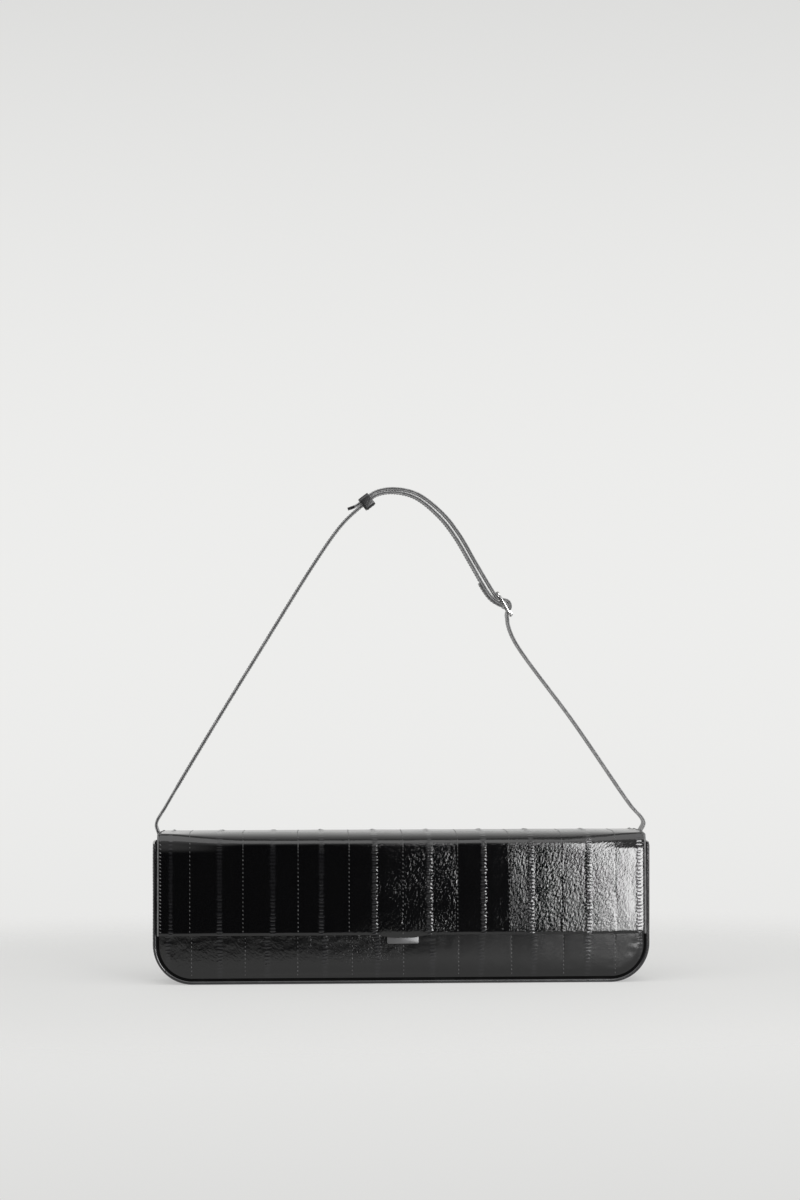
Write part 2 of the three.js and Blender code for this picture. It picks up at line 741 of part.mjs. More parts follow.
addPanels();
addBoards();
addGussets();
addPiping();
addLining();
addMagnets();
addFlapRoot();
addFlapTop();
addFlapFront();
addClasp();
addStraps();
addEndRivets();
addBuckle();
addKeeper();

export default bag;
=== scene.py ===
"""A slim flap clutch in glossy black striped leather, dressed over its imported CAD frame.

Shapes are drawn in millimetres in the frame of the CAD model and brought to metres as each piece is
finished. The front faces -Y, +X is to the right and +Z is up.
"""

from __future__ import annotations

import logging
import math
from collections.abc import Callable, Iterable, Sequence
from dataclasses import dataclass, field
from enum import Enum
from functools import cached_property

import bmesh
import bpy
from mathutils import Matrix, Vector, noise


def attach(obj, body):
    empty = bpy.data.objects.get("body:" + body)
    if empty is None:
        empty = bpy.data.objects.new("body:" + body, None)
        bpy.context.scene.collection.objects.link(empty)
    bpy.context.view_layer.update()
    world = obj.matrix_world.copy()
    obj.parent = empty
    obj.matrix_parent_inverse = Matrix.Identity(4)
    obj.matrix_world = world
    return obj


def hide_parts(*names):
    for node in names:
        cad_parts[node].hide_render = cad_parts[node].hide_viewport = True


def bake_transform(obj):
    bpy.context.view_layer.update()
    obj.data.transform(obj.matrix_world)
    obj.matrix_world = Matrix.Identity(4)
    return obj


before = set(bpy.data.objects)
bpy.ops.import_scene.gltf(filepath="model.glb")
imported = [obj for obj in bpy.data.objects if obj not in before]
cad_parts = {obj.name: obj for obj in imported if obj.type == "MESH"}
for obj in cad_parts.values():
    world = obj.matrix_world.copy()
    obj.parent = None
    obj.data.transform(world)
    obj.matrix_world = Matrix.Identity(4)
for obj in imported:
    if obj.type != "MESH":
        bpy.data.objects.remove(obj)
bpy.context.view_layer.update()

log = logging.getLogger("clutch")

MM = 0.001
TURN = 2 * math.pi
PATTERN = "pattern"
STRIP_WIDTH = 36.0

SHEET_COLUMNS = 236
STRAP_STEP = 1.5
Y_AXIS = Vector((0, 1, 0))

Colour = tuple[float, float, float]
Place = Callable[[float, float], Vector]
Point = tuple[float, float, float]
Section = list[tuple[float, float]]
Shape = bmesh.types.BMesh


def mix(a: float, b: float, share: float) -> float:
    """The value that lies a share of the way from a to b."""
    return a + (b - a) * share


def ease(low: float, high: float, value: float) -> float:
    """A soft step from 0 at low to 1 at high."""
    share = min(1.0, max(0.0, (value - low) / (high - low)))
    return share * share * (3 - 2 * share)


def ripple(x: float, y: float, z: float = 0.37) -> float:
    """Smooth noise between about -1 and 1."""
    return noise.noise(Vector((x, y, z)))


def math_node(operation: str, flipped: bool = False) -> Callable[..., Wire]:
    """Makes a Wire method that adds a Math node.

    Args:
        operation: Blender's name of the operation.
        flipped: whether the wire is the last input and not the first.

    Returns:
        The method, which takes the other inputs.
    """

    def method(self: Wire, *others: Wire | float) -> Wire:
        """Adds the node and gives its output."""
        inputs = [*others, self] if flipped else [self, *others]
        return self.shader.node("ShaderNodeMath", {"operation": operation}, inputs)

    return method


class Wire:
    """A shader value that can be used in Python expressions."""

    def __init__(self, shader: Shader, socket: bpy.types.NodeSocket) -> None:
        """Keeps the socket and the tree that it is in."""
        self.shader = shader
        self.socket = socket

    __add__ = __radd__ = math_node("ADD")
    __sub__ = math_node("SUBTRACT")
    __rsub__ = math_node("SUBTRACT", flipped=True)
    __mul__ = math_node("MULTIPLY")
    __truediv__ = math_node("DIVIDE")
    __abs__ = math_node("ABSOLUTE")
    floor = math_node("FLOOR")
    sine = math_node("SINE")
    most = math_node("MAXIMUM")
    least = math_node("MINIMUM")

    def step(self, low: Wire | float, high: Wire | float) -> Wire:
        """A soft step from 0 at low to 1 at high."""
        inputs = {"Value": self, "From Min": low, "From Max": high, "To Min": 0.0, "To Max": 1.0}
        return self.shader.node("ShaderNodeMapRange", {"interpolation_type": "SMOOTHSTEP"}, inputs)


class Shader:
    """One node tree, filled by a single node-making method."""

    def __init__(self, tree: bpy.types.NodeTree) -> None:
        """Starts from an empty tree."""
        self.tree = tree
        tree.nodes.clear()

    def node(
        self,
        kind: str,
        settings: dict | None = None,
        inputs: dict | list | None = None,
        output: int | str = 0,
    ) -> Wire | None:
        """Adds a node.

        Args:
            kind: Blender's name of the node's type.
            settings: properties that are set before the sockets.
            inputs: values or wires, by socket name or number or in socket order.
            output: which output is wanted.

        Returns:
            The wanted output, or nothing for a node that has none.
        """
        made = self.tree.nodes.new(kind)
        for key, value in (settings or {}).items():
            setattr(made, key, value)
        pairs = inputs.items() if isinstance(inputs, dict) else enumerate(inputs or [])
        for key, value in pairs:
            if isinstance(value, Wire):
                self.tree.links.new(value.socket, made.inputs[key])
            else:
                made.inputs[key].default_value = value
        return Wire(self, made.outputs[output]) if made.outputs else None

    def vector(self, x: Wire | float, y: Wire | float, z: Wire | float) -> Wire:
        """A vector from three values."""
        return self.node("ShaderNodeCombineXYZ", {}, [x, y, z])

    def parts(self, vector: Wire) -> list[Wire]:
        """The three values of a vector."""
        made = self.node("ShaderNodeSeparateXYZ", {}, [vector]).socket.node
        return [Wire(self, socket) for socket in made.outputs]

    def pattern(self) -> list[Wire]:
        """The piece's own map: across in strips or millimetres, and along in millimetres."""
        return self.parts(self.node("ShaderNodeUVMap", {"uv_map": PATTERN}))[:2]

    def place(self, x: float = 1.0, y: float = 1.0, z: float = 1.0) -> Wire:
        """The place on the piece in millimetres, stretched along each axis."""
        here = self.node("ShaderNodeTexCoord", {}, {}, "Object")
        stretch = (x / MM, y / MM, z / MM)
        return self.node("ShaderNodeVectorMath", {"operation": "MULTIPLY"}, [here, stretch])

    def noise(
        self,
        place: Wire,
        scale: float = 1.0,
        detail: float = 2.0,
        rough: float = 0.5,
    ) -> Wire:
        """Soft noise from 0 to 1 at a place."""
        inputs = {"Vector": place, "Scale": scale, "Detail": detail, "Roughness": rough}
        return self.node("ShaderNodeTexNoise", {}, inputs)

    def blend(self, share: Wire, first: Sequence[float], second: Sequence[float]) -> Wire:
        """A colour that goes from the first to the second."""
        inputs = {0: share, 6: (*first, 1.0), 7: (*second, 1.0)}
        return self.node("ShaderNodeMix", {"data_type": "RGBA"}, inputs, 2)

    def bump(self, height: Wire) -> Wire:
        """A normal from a height in millimetres."""
        inputs = {"Strength": 1.0, "Distance": MM, "Height": height}
        return self.node("ShaderNodeBump", {}, inputs)

    def surface(self, **inputs: Wire | float | Sequence[float]) -> None:
        """Ends the tree in a Principled surface, whose sockets are named with _ for spaces."""
        named = {key.replace("_", " "): value for key, value in inputs.items()}
        shine = self.node("ShaderNodeBsdfPrincipled", {}, named)
        self.node("ShaderNodeOutputMaterial", {}, {"Surface": shine})


@dataclass(frozen=True)
class Finish:
    """A finish that a piece can be dressed in."""

    name: str

    def material(self) -> bpy.types.Material:
        """Its material, made at its first use."""
        found = bpy.data.materials.get(self.name)
        if found is None:
            found = bpy.data.materials.new(self.name)
            found.use_nodes = True
            self.fill(Shader(found.node_tree))
        return found

    def fill(self, shader: Shader) -> None:
        """Builds the finish's nodes."""
        raise NotImplementedError


@dataclass(frozen=True)
class StripLeather(Finish):
    """Glossy eel leather in sewn strips, each with a wrinkled ridge line down its middle."""

    name: str = "strip_leather"
    colour: Colour = (0.0018, 0.0018, 0.002)
    worn: Colour = (0.008, 0.008, 0.009)
    roughness: float = 0.05
    roughness_spread: float = 0.04
    swell: float = 0.16
    wrinkle: float = 0.008
    grain: float = 0.18
    crinkled: tuple[float, float] = (1.9, 4.2)
    smooth_end: float = 7.9
    smooth_strip: int = 5
    tick: float = 0.15
    tick_pitch: float = 2.4
    groove: float = 0.012

    def fill(self, shader: Shader) -> None:
        """Builds the strips from the piece's own map."""
        strips, along = shader.pattern()
        strip = strips.floor()
        across = strips - strip
        off_ridge = abs(across - 0.5) * STRIP_WIDTH
        off_seam = STRIP_WIDTH / 2 - off_ridge
        one_value = {"noise_dimensions": "1D"}
        luck = shader.node("ShaderNodeTexWhiteNoise", one_value, {"W": strip + 0.31})
        shelf = strip * 7.7
        wide = strips * STRIP_WIDTH

        swell = shader.noise(shader.vector(wide / 13, along / 19, shelf), 1.0, 1.0)
        wrinkle = shader.noise(shader.vector(wide / 1.0, along / 8, shelf), 1.0, 4.0, 0.62)
        skewed = shader.vector(wide / 1.8, along / 2.1 + wide / 3.8, shelf)
        grain = shader.noise(skewed, 1.0, 3.0, 0.55)
        drift = shader.noise(shader.vector(wide / 9, along / 5.0, shelf), 1.0, 2.0)
        reach = shader.noise(shader.vector(shelf, along / 1.8, 3.0), 1.0, 2.0)
        patch = shader.noise(shader.vector(shelf, along / 15, 9.0), 1.0, 1.0)

        tick = ((along / self.tick_pitch + drift * 0.9) * TURN).sine() * 0.5 + 0.5
        ladder = 1 - off_ridge.step(reach * 1.8, reach * 3.8 + 0.5)
        smooth = strips.step(self.smooth_end, self.smooth_end + 0.2) * 0.7
        crinkled = strips.step(*self.crinkled) * (1 - smooth)
        uneven = abs(strips - (self.smooth_strip + 0.5)).step(0.45, 0.5) * 0.6 + 0.4
        inside = off_seam.step(0.0, 1.2)
        groove = 1 - off_seam.step(0.1, 0.8)
        rise = (
            (swell - 0.5) * self.swell
            + (wrinkle - 0.5) * (luck * 0.8 + 0.5) * self.wrinkle
            + (grain - 0.5) * (patch + 0.4) * (crinkled * uneven + 0.15) * self.grain
        ) * inside
        rungs = tick * ladder * patch.step(0.1, 0.4) * (crinkled * 0.6 + 0.4)
        rise = rise + rungs * self.tick - groove * self.groove
        gloss = self.roughness + (luck * 0.5 + patch * 0.5) * self.roughness_spread
        shader.surface(
            Base_Color=shader.blend(ladder * tick, self.colour, self.worn),
            Roughness=gloss,
            IOR=1.5,
            Coat_Weight=0.15,
            Coat_Roughness=0.05,
            Normal=shader.bump(rise),
        )


@dataclass(frozen=True)
class GrainLeather(Finish):
    """Smooth glossy leather with a fine grain, on straps and welts."""

    name: str = "grain_leather"
    colour: Colour = (0.008, 0.008, 0.009)
    worn: Colour = (0.02, 0.02, 0.021)
    roughness: float = 0.26
    cell: float = 0.7
    depth: float = 0.035
    index: float = 1.5
    coat: float = 0.15

    def fill(self, shader: Shader) -> None:
        """Builds a cell grain with soft creases."""
        here = shader.place()
        inputs = {"Vector": here, "Scale": 1 / self.cell}
        cells = shader.node("ShaderNodeTexVoronoi", {}, inputs, "Distance")
        crease = shader.noise(here, 0.22, 3.0, 0.6)
        rub = shader.noise(here, 0.05, 3.0, 0.55)
        shader.surface(
            Base_Color=shader.blend(rub.step(0.45, 0.75), self.colour, self.worn),
            Roughness=self.roughness + crease * 0.14,
            IOR=self.index,
            Coat_Weight=self.coat,
            Coat_Roughness=0.15,
            Normal=shader.bump(cells * self.depth + crease * 0.12),
        )


@dataclass(frozen=True)
class EdgePaintAndHighlight(Finish):
    """Cut-edge paint, its black lightened to grey as painted highlight, worn lighter in places."""

    name: str = "edge_highlight_and_paint"
    colour: Colour = (0.085, 0.085, 0.086)
    worn: Colour = (0.14, 0.14, 0.14)
    roughness: float = 0.38

    def fill(self, shader: Shader) -> None:
        """Builds mottled paint over fibres."""
        here = shader.place()
        mottle = shader.noise(here, 0.35, 4.0, 0.6)
        fibre = shader.noise(here, 2.6, 3.0, 0.6)
        shader.surface(
            Base_Color=shader.blend(mottle.step(0.4, 0.7), self.colour, self.worn),
            Roughness=self.roughness + fibre * 0.2,
            IOR=1.48,
            Normal=shader.bump(fibre * 0.06 + mottle * 0.05),
        )


@dataclass(frozen=True)
class Thread(Finish):
    """Waxed black thread."""

    name: str = "thread"
    colour: Colour = (0.04, 0.04, 0.041)
    bright: Colour = (0.1, 0.1, 0.101)
    roughness: float = 0.42

    def fill(self, shader: Shader) -> None:
        """Builds twisted fibres."""
        here = shader.place()
        fibre = shader.noise(here, 6.0, 2.0, 0.6)
        shade = shader.noise(here, 0.3, 2.0)
        shader.surface(
            Base_Color=shader.blend(shade.step(0.35, 0.7), self.colour, self.bright),
            Roughness=self.roughness + fibre * 0.15,
            IOR=1.5,
            Normal=shader.bump(fibre * 0.05),
        )


@dataclass(frozen=True)
class Suede(Finish):
    """Matt black suede cloth with brushed patches."""

    name: str = "suede_lining"
    colour: Colour = (0.02, 0.0195, 0.0195)
    brushed: Colour = (0.042, 0.04, 0.04)

    def fill(self, shader: Shader) -> None:
        """Builds a short nap that lies one way or the other."""
        here = shader.place()
        nap = shader.noise(here, 3.2, 3.0, 0.65)
        sweep = shader.noise(here, 0.035, 3.0, 0.6)
        shader.surface(
            Base_Color=shader.blend(sweep * 0.7 + nap * 0.4, self.colour, self.brushed),
            Roughness=0.82 + nap * 0.15,
            IOR=1.4,
            Sheen_Weight=0.35,
            Sheen_Roughness=0.45,
            Normal=shader.bump(nap * 0.12 + sweep * 0.2),
        )


class Brushing(Enum):
    """Which way a metal's fine scratches run."""

    ACROSS = (0.06, 5.0, 5.0)
    NONE = (0.9, 0.9, 0.9)


@dataclass(frozen=True)
class Metal(Finish):
    """Plated metal, polished or brushed."""

    name: str = "metal"
    colour: Colour = (0.55, 0.55, 0.55)
    tarnish: Colour = (0.46, 0.455, 0.445)
    roughness: float = 0.14
    brushing: Brushing = Brushing.NONE
    depth: float = 0.006
    purity: float = 1.0

    def fill(self, shader: Shader) -> None:
        """Builds fine scratches and a little tarnish."""
        scratch = shader.noise(shader.place(*self.brushing.value), 1.0, 4.0, 0.7)
        cloud = shader.noise(shader.place(), 0.12, 3.0, 0.6)
        shader.surface(
            Base_Color=shader.blend(cloud.step(0.4, 0.75), self.colour, self.tarnish),
            Metallic=self.purity,
            Roughness=self.roughness + scratch * 0.08,
            Normal=shader.bump(scratch * self.depth),
        )


@dataclass(frozen=True)
class Board(Finish):
    """Grey-brown stiffening board."""

    name: str = "stiffening_board"
    colour: Colour = (0.27, 0.2, 0.13)
    fleck: Colour = (0.17, 0.125, 0.085)

    def fill(self, shader: Shader) -> None:
        """Builds pressed fibres."""
        here = shader.place()
        fibre = shader.noise(shader.place(0.3, 1.0, 2.0), 0.8, 4.0, 0.65)
        pulp = shader.noise(here, 0.2, 3.0)
        flecked = (fibre * 0.6 + pulp * 0.5).step(0.4, 0.8)
        shader.surface(
            Base_Color=shader.blend(flecked, self.colour, self.fleck),
            Roughness=0.86 + fibre * 0.1,
            IOR=1.45,
            Normal=shader.bump(fibre * 0.08),
        )


STRIPS = StripLeather()
CALM_STRIPS = StripLeather(
    "calm_strip_leather",
    roughness=0.14,
    swell=0.12,
    wrinkle=0.01,
    grain=0.17,
    crinkled=(4.6, 3.2),
    tick=0.055,
)
LEATHER = GrainLeather()
WELT = GrainLeather("welt_leather", roughness=0.13, depth=0.015)
# A black matt strip with almost no shine: painted shade of the gap between each wall and its welt.
WELT_GAP_SHADE = GrainLeather(
    "welt_gap_painted_shade",
    colour=(0.002, 0.002, 0.002),
    worn=(0.004, 0.004, 0.004),
    roughness=0.75,
    index=1.12,
    coat=0.0,
)
# The edge paint is grey, not the edges' own black: painted highlight of the light that the edges
# catch.
EDGE = EdgePaintAndHighlight()
# The strap's edges get a lighter grey still: a stronger painted highlight on their black edge
# paint.
STRAP_EDGE = EdgePaintAndHighlight("strap_edge_highlight_and_paint", colour=(0.19, 0.19, 0.192), worn=(0.31, 0.31, 0.31))
THREAD = Thread()
SUEDE = Suede()
POLISHED = Metal("polished_metal", roughness=0.1)
BRUSHED = Metal(
    "brushed_metal",
    colour=(0.085, 0.085, 0.087),
    tarnish=(0.07, 0.07, 0.07),
    roughness=0.3,
    brushing=Brushing.ACROSS,
    depth=0.01,
    purity=0.5,
)
MAGNET = Metal("magnet_plating", colour=(0.5, 0.5, 0.52), roughness=0.2)
BOARD = Board()
EDGE_SIDE, THREAD_SIDE = 1, 2
DRESS = (STRIPS, EDGE, THREAD)
CALM_DRESS = (CALM_STRIPS, EDGE, THREAD)
STRAP_DRESS = (LEATHER, STRAP_EDGE, THREAD)
CLOTH_THREAD_SIDE = 1
CLOTH_DRESS = (SUEDE, THREAD)


@dataclass(frozen=True)
class Span:
    """An even run of steps from a start to an end."""

    start: float
    end: float
    steps: int

    def at(self, share: float) -> float:
        """The value at a share of the run."""
        return mix(self.start, self.end, share)


def draped(
    across: Span,
    along: Span,
    place: Place,
    chart: Callable[[float], float] = lambda value: value,
) -> Shape:
    """Lays a fine grid over a form.

    Args:
        across: the run from one side of the sheet to the other.
        along: the run from one end of the sheet to the other.
        place: gives the point for a value across and a value along.
        chart: turns a value across into the pattern map's first value.

    Returns:
        The sheet, with its pattern map.
    """
    bm = bmesh.new()
    pattern = bm.loops.layers.uv.new(PATTERN)
    bmesh.ops.create_grid(bm, x_segments=across.steps, y_segments=along.steps, size=0.5)
    for face in bm.faces:
        for loop in face.loops:
            flat = loop.vert.co
            loop[pattern].uv = chart(across.at(flat.x + 0.5)), along.at(flat.y + 0.5)
    for vert in bm.verts:
        vert.co = place(across.at(vert.co.x + 0.5), along.at(vert.co.y + 0.5))
    bm.normal_update()
    return bm


def swept(
    section: Section,
    stations: Sequence[Matrix],
    closed: bool = False,
) -> Shape:
    """Draws a closed section along a row of stations, one extrusion at a time.

    Args:
        section: the section's points, in the first two axes of a station.
        stations: where the section stands at each step.
        closed: whether the last station joins the first one.

    Returns:
        The closed skin. Its pattern map holds Y and the way along in millimetres.
    """
    bm = bmesh.new()
    pattern = bm.loops.layers.uv.new(PATTERN)
    way = bm.verts.layers.float.new("way")
    ring = bmesh.ops.create_circle(bm, segments=len(section), radius=1)["verts"]
    for vert, (across, out) in zip(ring, section):
        vert.co = stations[0] @ Vector((across, out, 0))
    first = bm.edges[:]
    edges = first
    gone = 0.0
    for before, after in zip(stations, stations[1:]):
        grown = bmesh.ops.extrude_edge_only(bm, edges=edges)["geom"]
        ring = [item for item in grown if isinstance(item, bmesh.types.BMVert)]
        new = set(ring)
        edges = [
            item for item in grown
            if isinstance(item, bmesh.types.BMEdge) and new.issuperset(item.verts)
        ]
        bmesh.ops.transform(bm, matrix=after @ before.inverted(), verts=ring)
        gone += (after.translation - before.translation).length
        for vert in ring:
            vert[way] = gone
    if closed:
        bmesh.ops.bridge_loops(bm, edges=first + edges)
    else:
        bmesh.ops.edgeloop_fill(bm, edges=first)
        bmesh.ops.edgeloop_fill(bm, edges=edges)
    bmesh.ops.recalc_face_normals(bm, faces=bm.faces)
    for face in bm.faces:
        for loop in face.loops:
            loop[pattern].uv = loop.vert.co.y, loop.vert[way]
    return bm


def station(across: Vector, out: Vector, place: Vector, width: float = 1.0) -> Matrix:
    """A frame for a section: its two axes, where it stands and how much of its size it has."""
    turn = Matrix((across, out, across.cross(out))).transposed().to_4x4()
    return Matrix.Translation(place) @ turn @ Matrix.Diagonal((width, width, 1, 1))


def upright(flat: Vector, y: float = 0.0) -> Vector:
    """A point or a direction in space from its X and Z."""
    return Vector((flat.x, y, flat.y))


def superellipse(half_across: float, half_out: float, count: int, power: float) -> Section:
    """A rounded section: power 2 is an ellipse, and more is squarer."""
    points = []
    for i in range(count):
        c, s = math.cos(TURN * i / count), math.sin(TURN * i / count)
        across = math.copysign(abs(c) ** (2 / power), c) * half_across
        points.append((across, math.copysign(abs(s) ** (2 / power), s) * half_out))
    return points


def rounded_loop(
    half: float,
    low: float,
    high: float,
    radius: float,
    steps: int,
) -> list[tuple[Vector, Vector]]:
    """Points and outward directions round a rectangle with round corners.

    Args:
        half: half its size in the first direction.
        low: its lower end in the second direction.
        high: its upper end in the second direction.
        radius: of its corners.
        steps: in each corner.

    Returns:
        Pairs of a point and an outward direction, in two values each.
    """
    corners = [
        (half - radius, high - radius, 0.0),
        (radius - half, high - radius, 0.25),
        (radius - half, low + radius, 0.5),
        (half - radius, low + radius, 0.75),
    ]
    loop = []
    for x, y, start in corners:
        for i in range(steps + 1):
            angle = TURN * (start + 0.25 * i / steps)
            out = Vector((math.cos(angle), math.sin(angle)))
            loop.append((Vector((x, y)) + out * radius, out))
    return loop


def round_lower_corners(bm: Shape, half: float, low: float, radius: float) -> None:
    """Cuts the two lower corners of an upright sheet to arcs.

    Args:
        bm: the sheet.
        half: half its width.
        low: the height of its lower edge.
        radius: of the arcs.
    """
    cuts = 14
    for side, turned in ((-1, 180.0), (1, 270.0)):
        centre = Vector((side * (half - radius), 0, low + radius))
        for i in range(cuts):
            angle = math.radians(turned + 90.0 * (i + 0.5) / cuts)
            out = Vector((math.cos(angle), 0, math.sin(angle)))
            bmesh.ops.bisect_plane(
                bm,
                geom=bm.verts[:] + bm.edges[:] + bm.faces[:],
                dist=1e-4,
                plane_co=centre + out * radius,
                plane_no=out,
                clear_outer=True,
            )


def sharp_edges(bm: Shape, angle: float) -> list[bmesh.types.BMEdge]:
    """The edges between two faces that turn by more than an angle in degrees."""
    limit = math.radians(angle)
    return [edge for edge in bm.edges if edge.is_manifold and edge.calc_face_angle(0) > limit]


def bevel(
    bm: Shape,
    edges: list[bmesh.types.BMEdge],
    offset: float,
    segments: int = 3,
    clamp: bool = False,
) -> None:
    """Rounds edges.

    Args:
        bm: the shape.
        edges: its edges that are rounded.
        offset: how far the rounding reaches from each edge.
        segments: steps of the rounding.
        clamp: whether roundings that would cross are kept smaller.
    """
    bmesh.ops.bevel(
        bm,
        geom=edges,
        offset=offset,
        offset_type="OFFSET",
        segments=segments,
        profile=0.5,
        affect="EDGES",
        material=-1,
        clamp_overlap=clamp,
    )


def thicken(bm: Shape, depth: float, rounding: float) -> None:
    """Gives a sheet a thickness behind its face, and rounds the edges of its rim."""
    bmesh.ops.solidify(bm, geom=bm.faces[:], thickness=depth)
    bm.normal_update()
    bevel(bm, sharp_edges(bm, 55), rounding, clamp=True)
    bm.normal_update()


def carved(bm: Shape, cutter: Shape) -> Shape:
    """Cuts closed shapes out of a closed skin.

    Args:
        bm: the skin.
        cutter: the shapes to cut away.

    Returns:
        The cut skin.
    """
    skin, tool = assemble("skin", bm, ()), assemble("tool", cutter, ())
    cut = skin.modifiers.new("cut", "BOOLEAN")
    cut.object = tool
    cut.solver = "EXACT"
    shaped = skin.evaluated_get(bpy.context.evaluated_depsgraph_get())
    result = bmesh.new()
    result.from_mesh(shaped.data)
    for temporary in (skin, tool):
        mesh = temporary.data
        bpy.data.objects.remove(temporary)
        bpy.data.meshes.remove(mesh)
    bmesh.ops.scale(result, vec=(1 / MM,) * 3, verts=result.verts)
    return result


def join(bm: Shape, other: Shape, material: int = 0) -> None:
    """Adds another shape to a piece.

    Args:
        bm: the piece.
        other: the shape, which is used up.
        material: number of the shape's finish on the piece.
    """
    for face in other.faces:
        face.material_index = material
    mesh = bpy.data.meshes.new("joined")
    other.to_mesh(mesh)
    other.free()
    bm.from_mesh(mesh)
    bpy.data.meshes.remove(mesh)


def assemble(
    name: str,
    bm: Shape,
    finishes: Iterable[Finish],
    crease: float = 40.0,
) -> bpy.types.Object:
    """Turns a drawn shape into an object in metres.

    Args:
        name: of the piece.
        bm: its shape in millimetres, which is used up.
        finishes: one for each material number of its faces.
        crease: angle in degrees above which an edge stays sharp.

    Returns:
        The object, at the origin.
    """
    bmesh.ops.scale(bm, vec=(MM,) * 3, verts=bm.verts)
    mesh = bpy.data.meshes.new(name)
    bm.to_mesh(mesh)
    bm.free()
    for finish in finishes:
        mesh.materials.append(finish.material())
    mesh.shade_smooth()
    mesh.set_sharp_from_angle(angle=math.radians(crease))
    piece = bpy.data.objects.new(name, mesh)
    bpy.context.scene.collection.objects.link(piece)
    return piece


@dataclass(frozen=True)
class Bend:
    """Where a soft piece turns from one body to another."""

    first: str
    second: str
    start: Point
    end: Point


def hand_over(piece: bpy.types.Object, carrier: str | Bend, slot: str, *nodes: str) -> None:
    """Attaches a piece to the body that it rides on, or only bakes its place when it spans a bend,
    and hides the CAD nodes that it stands for.

    Args:
        piece: the piece.
        carrier: the body that it rides on, or the bend between two bodies.
        slot: not used.
        nodes: the CAD nodes that it replaces.
    """
    if isinstance(carrier, Bend):
        start, end = (tuple(v * MM for v in point) for point in (carrier.start, carrier.end))
        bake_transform(piece)
        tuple(start)
        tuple(end)
    else:
        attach(piece, carrier)
    if nodes:
        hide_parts(*nodes)
    stands_for = ", ".join(nodes) or "detail"
    log.info("%s: %d faces for %s", piece.name, len(piece.data.polygons), stands_for)


@dataclass(frozen=True)
class Stitch:
    """One run of thread that shows between two needle holes."""

    pitch: float = 2.0
    length: float = 1.45
    width: float = 0.42
    height: float = 0.34
    slant: float = 0.16

    @cached_property
    def bead(self) -> bpy.types.Mesh:
        """The plain ball that every stitch is stretched from."""
        bm = bmesh.new()
        bmesh.ops.create_uvsphere(bm, u_segments=6, v_segments=4, radius=1)
        mesh = bpy.data.meshes.new("bead")
        bm.to_mesh(mesh)
        bm.free()
        return mesh

    def add(self, thread: Shape, place: Vector, ahead: Vector, up: Vector) -> None:
        """Sews one stitch.

        Args:
            thread: the row that it belongs to.
            place: its middle.
            ahead: the way that the row runs.
            up: the way out of the leather.
        """
        turn = Matrix((ahead, up.cross(ahead), up)).transposed().to_4x4()
        size = Matrix.Diagonal((self.length / 2, self.width / 2, self.height / 2, 1))
        bead = self.bead.copy()
        slant = Matrix.Rotation(self.slant, 4, "Z")
        bead.transform(Matrix.Translation(place) @ turn @ slant @ size)
        thread.from_mesh(bead)
        bpy.data.meshes.remove(bead)

    def row(
        self,
        bm: Shape,
        line: Callable[[float], Vector],
        out: Callable[[float], Vector],
        run: tuple[float, float],
        material: int = THREAD_SIDE,
    ) -> None:
        """Sews an even row.

        Args:
            bm: the piece that it is sewn to.
            line: the point at a length along the row.
            out: the way out of the leather there.
            run: the lengths where the row starts and ends.
            material: number of its finish on the piece.
        """
        start, end = run
        count = round((end - start) / self.pitch)
        thread = bmesh.new()
        for i in range(count):
            at = mix(start, end, (i + 0.5) / count)
            ahead = (line(at + 0.3) - line(at - 0.3)).normalized()
            up = out(at)
            up = (up - ahead * up.dot(ahead)).normalized()
            self.add(thread, line(at), ahead, up)
        join(bm, thread, material)


SEAM_STITCH = Stitch(pitch=2.8, length=1.3, width=0.55, height=0.45)
EDGE_STITCH = Stitch(pitch=2.2, length=1.6, width=0.44, height=0.36)
SIDE_STITCH = Stitch(pitch=2.4, length=1.7, width=0.8, height=0.5, slant=1.1)
STRAP_STITCH = Stitch(pitch=2.0, length=1.5, width=0.5, height=0.45, slant=0.1)
FLAT_STITCH = Stitch(pitch=2.0, length=1.4, width=0.44, height=0.2, slant=0.1)


@dataclass(frozen=True)
class StripPlan:
    """Where the leather's strips meet in a seam, and where each has its ridge line.

    A place across is counted in strips: whole numbers are seams and halves are ridges.
    """

    marks: tuple[float, ...]
    lifts: tuple[float, ...]

    def x(self, strips: float) -> float:
        """The place in X of a count of strips."""
        index = min(max(math.floor(strips * 2 + 1), 0), len(self.marks) - 2)
        return mix(self.marks[index], self.marks[index + 1], strips * 2 + 1 - index)

    def strips(self, x: float) -> float:
        """The count of strips at a place in X."""
        index = max([0] + [i for i, mark in enumerate(self.marks[:-1]) if mark <= x])
        low, high = self.marks[index : index + 2]
        return (index - 1 + (x - low) / (high - low)) / 2

    def seams(self, half: float) -> list[float]:
        """The seams' counts of strips inside a half width."""
        return [i / 2 - 0.5 for i, mark in enumerate(self.marks) if i % 2 and abs(mark) < half]

    def relief(self, strips: float, along: float, lean: float = 1.0) -> float:
        """How far the leather stands out: a strip swells between its seams and leans its own way.

        Args:
            strips: the place across, in strips.
            along: the place along, in millimetres.
            lean: the share of the strips' own lean.

        Returns:
            The height in millimetres.
        """
        number = math.floor(strips)
        across = strips - number
        low, high = self.lifts[number + 1 : number + 3]
        swell = 0.07 * (1 - (2 * across - 1) ** 2)
        ridge = 0.03 * math.exp(-(((across - 0.5) * STRIP_WIDTH / 1.6) ** 2))
        slack = 0.1 * ripple(strips * 1.1, along / 26, 8.0)
        return mix(low, high, across) * lean + swell + ridge + slack


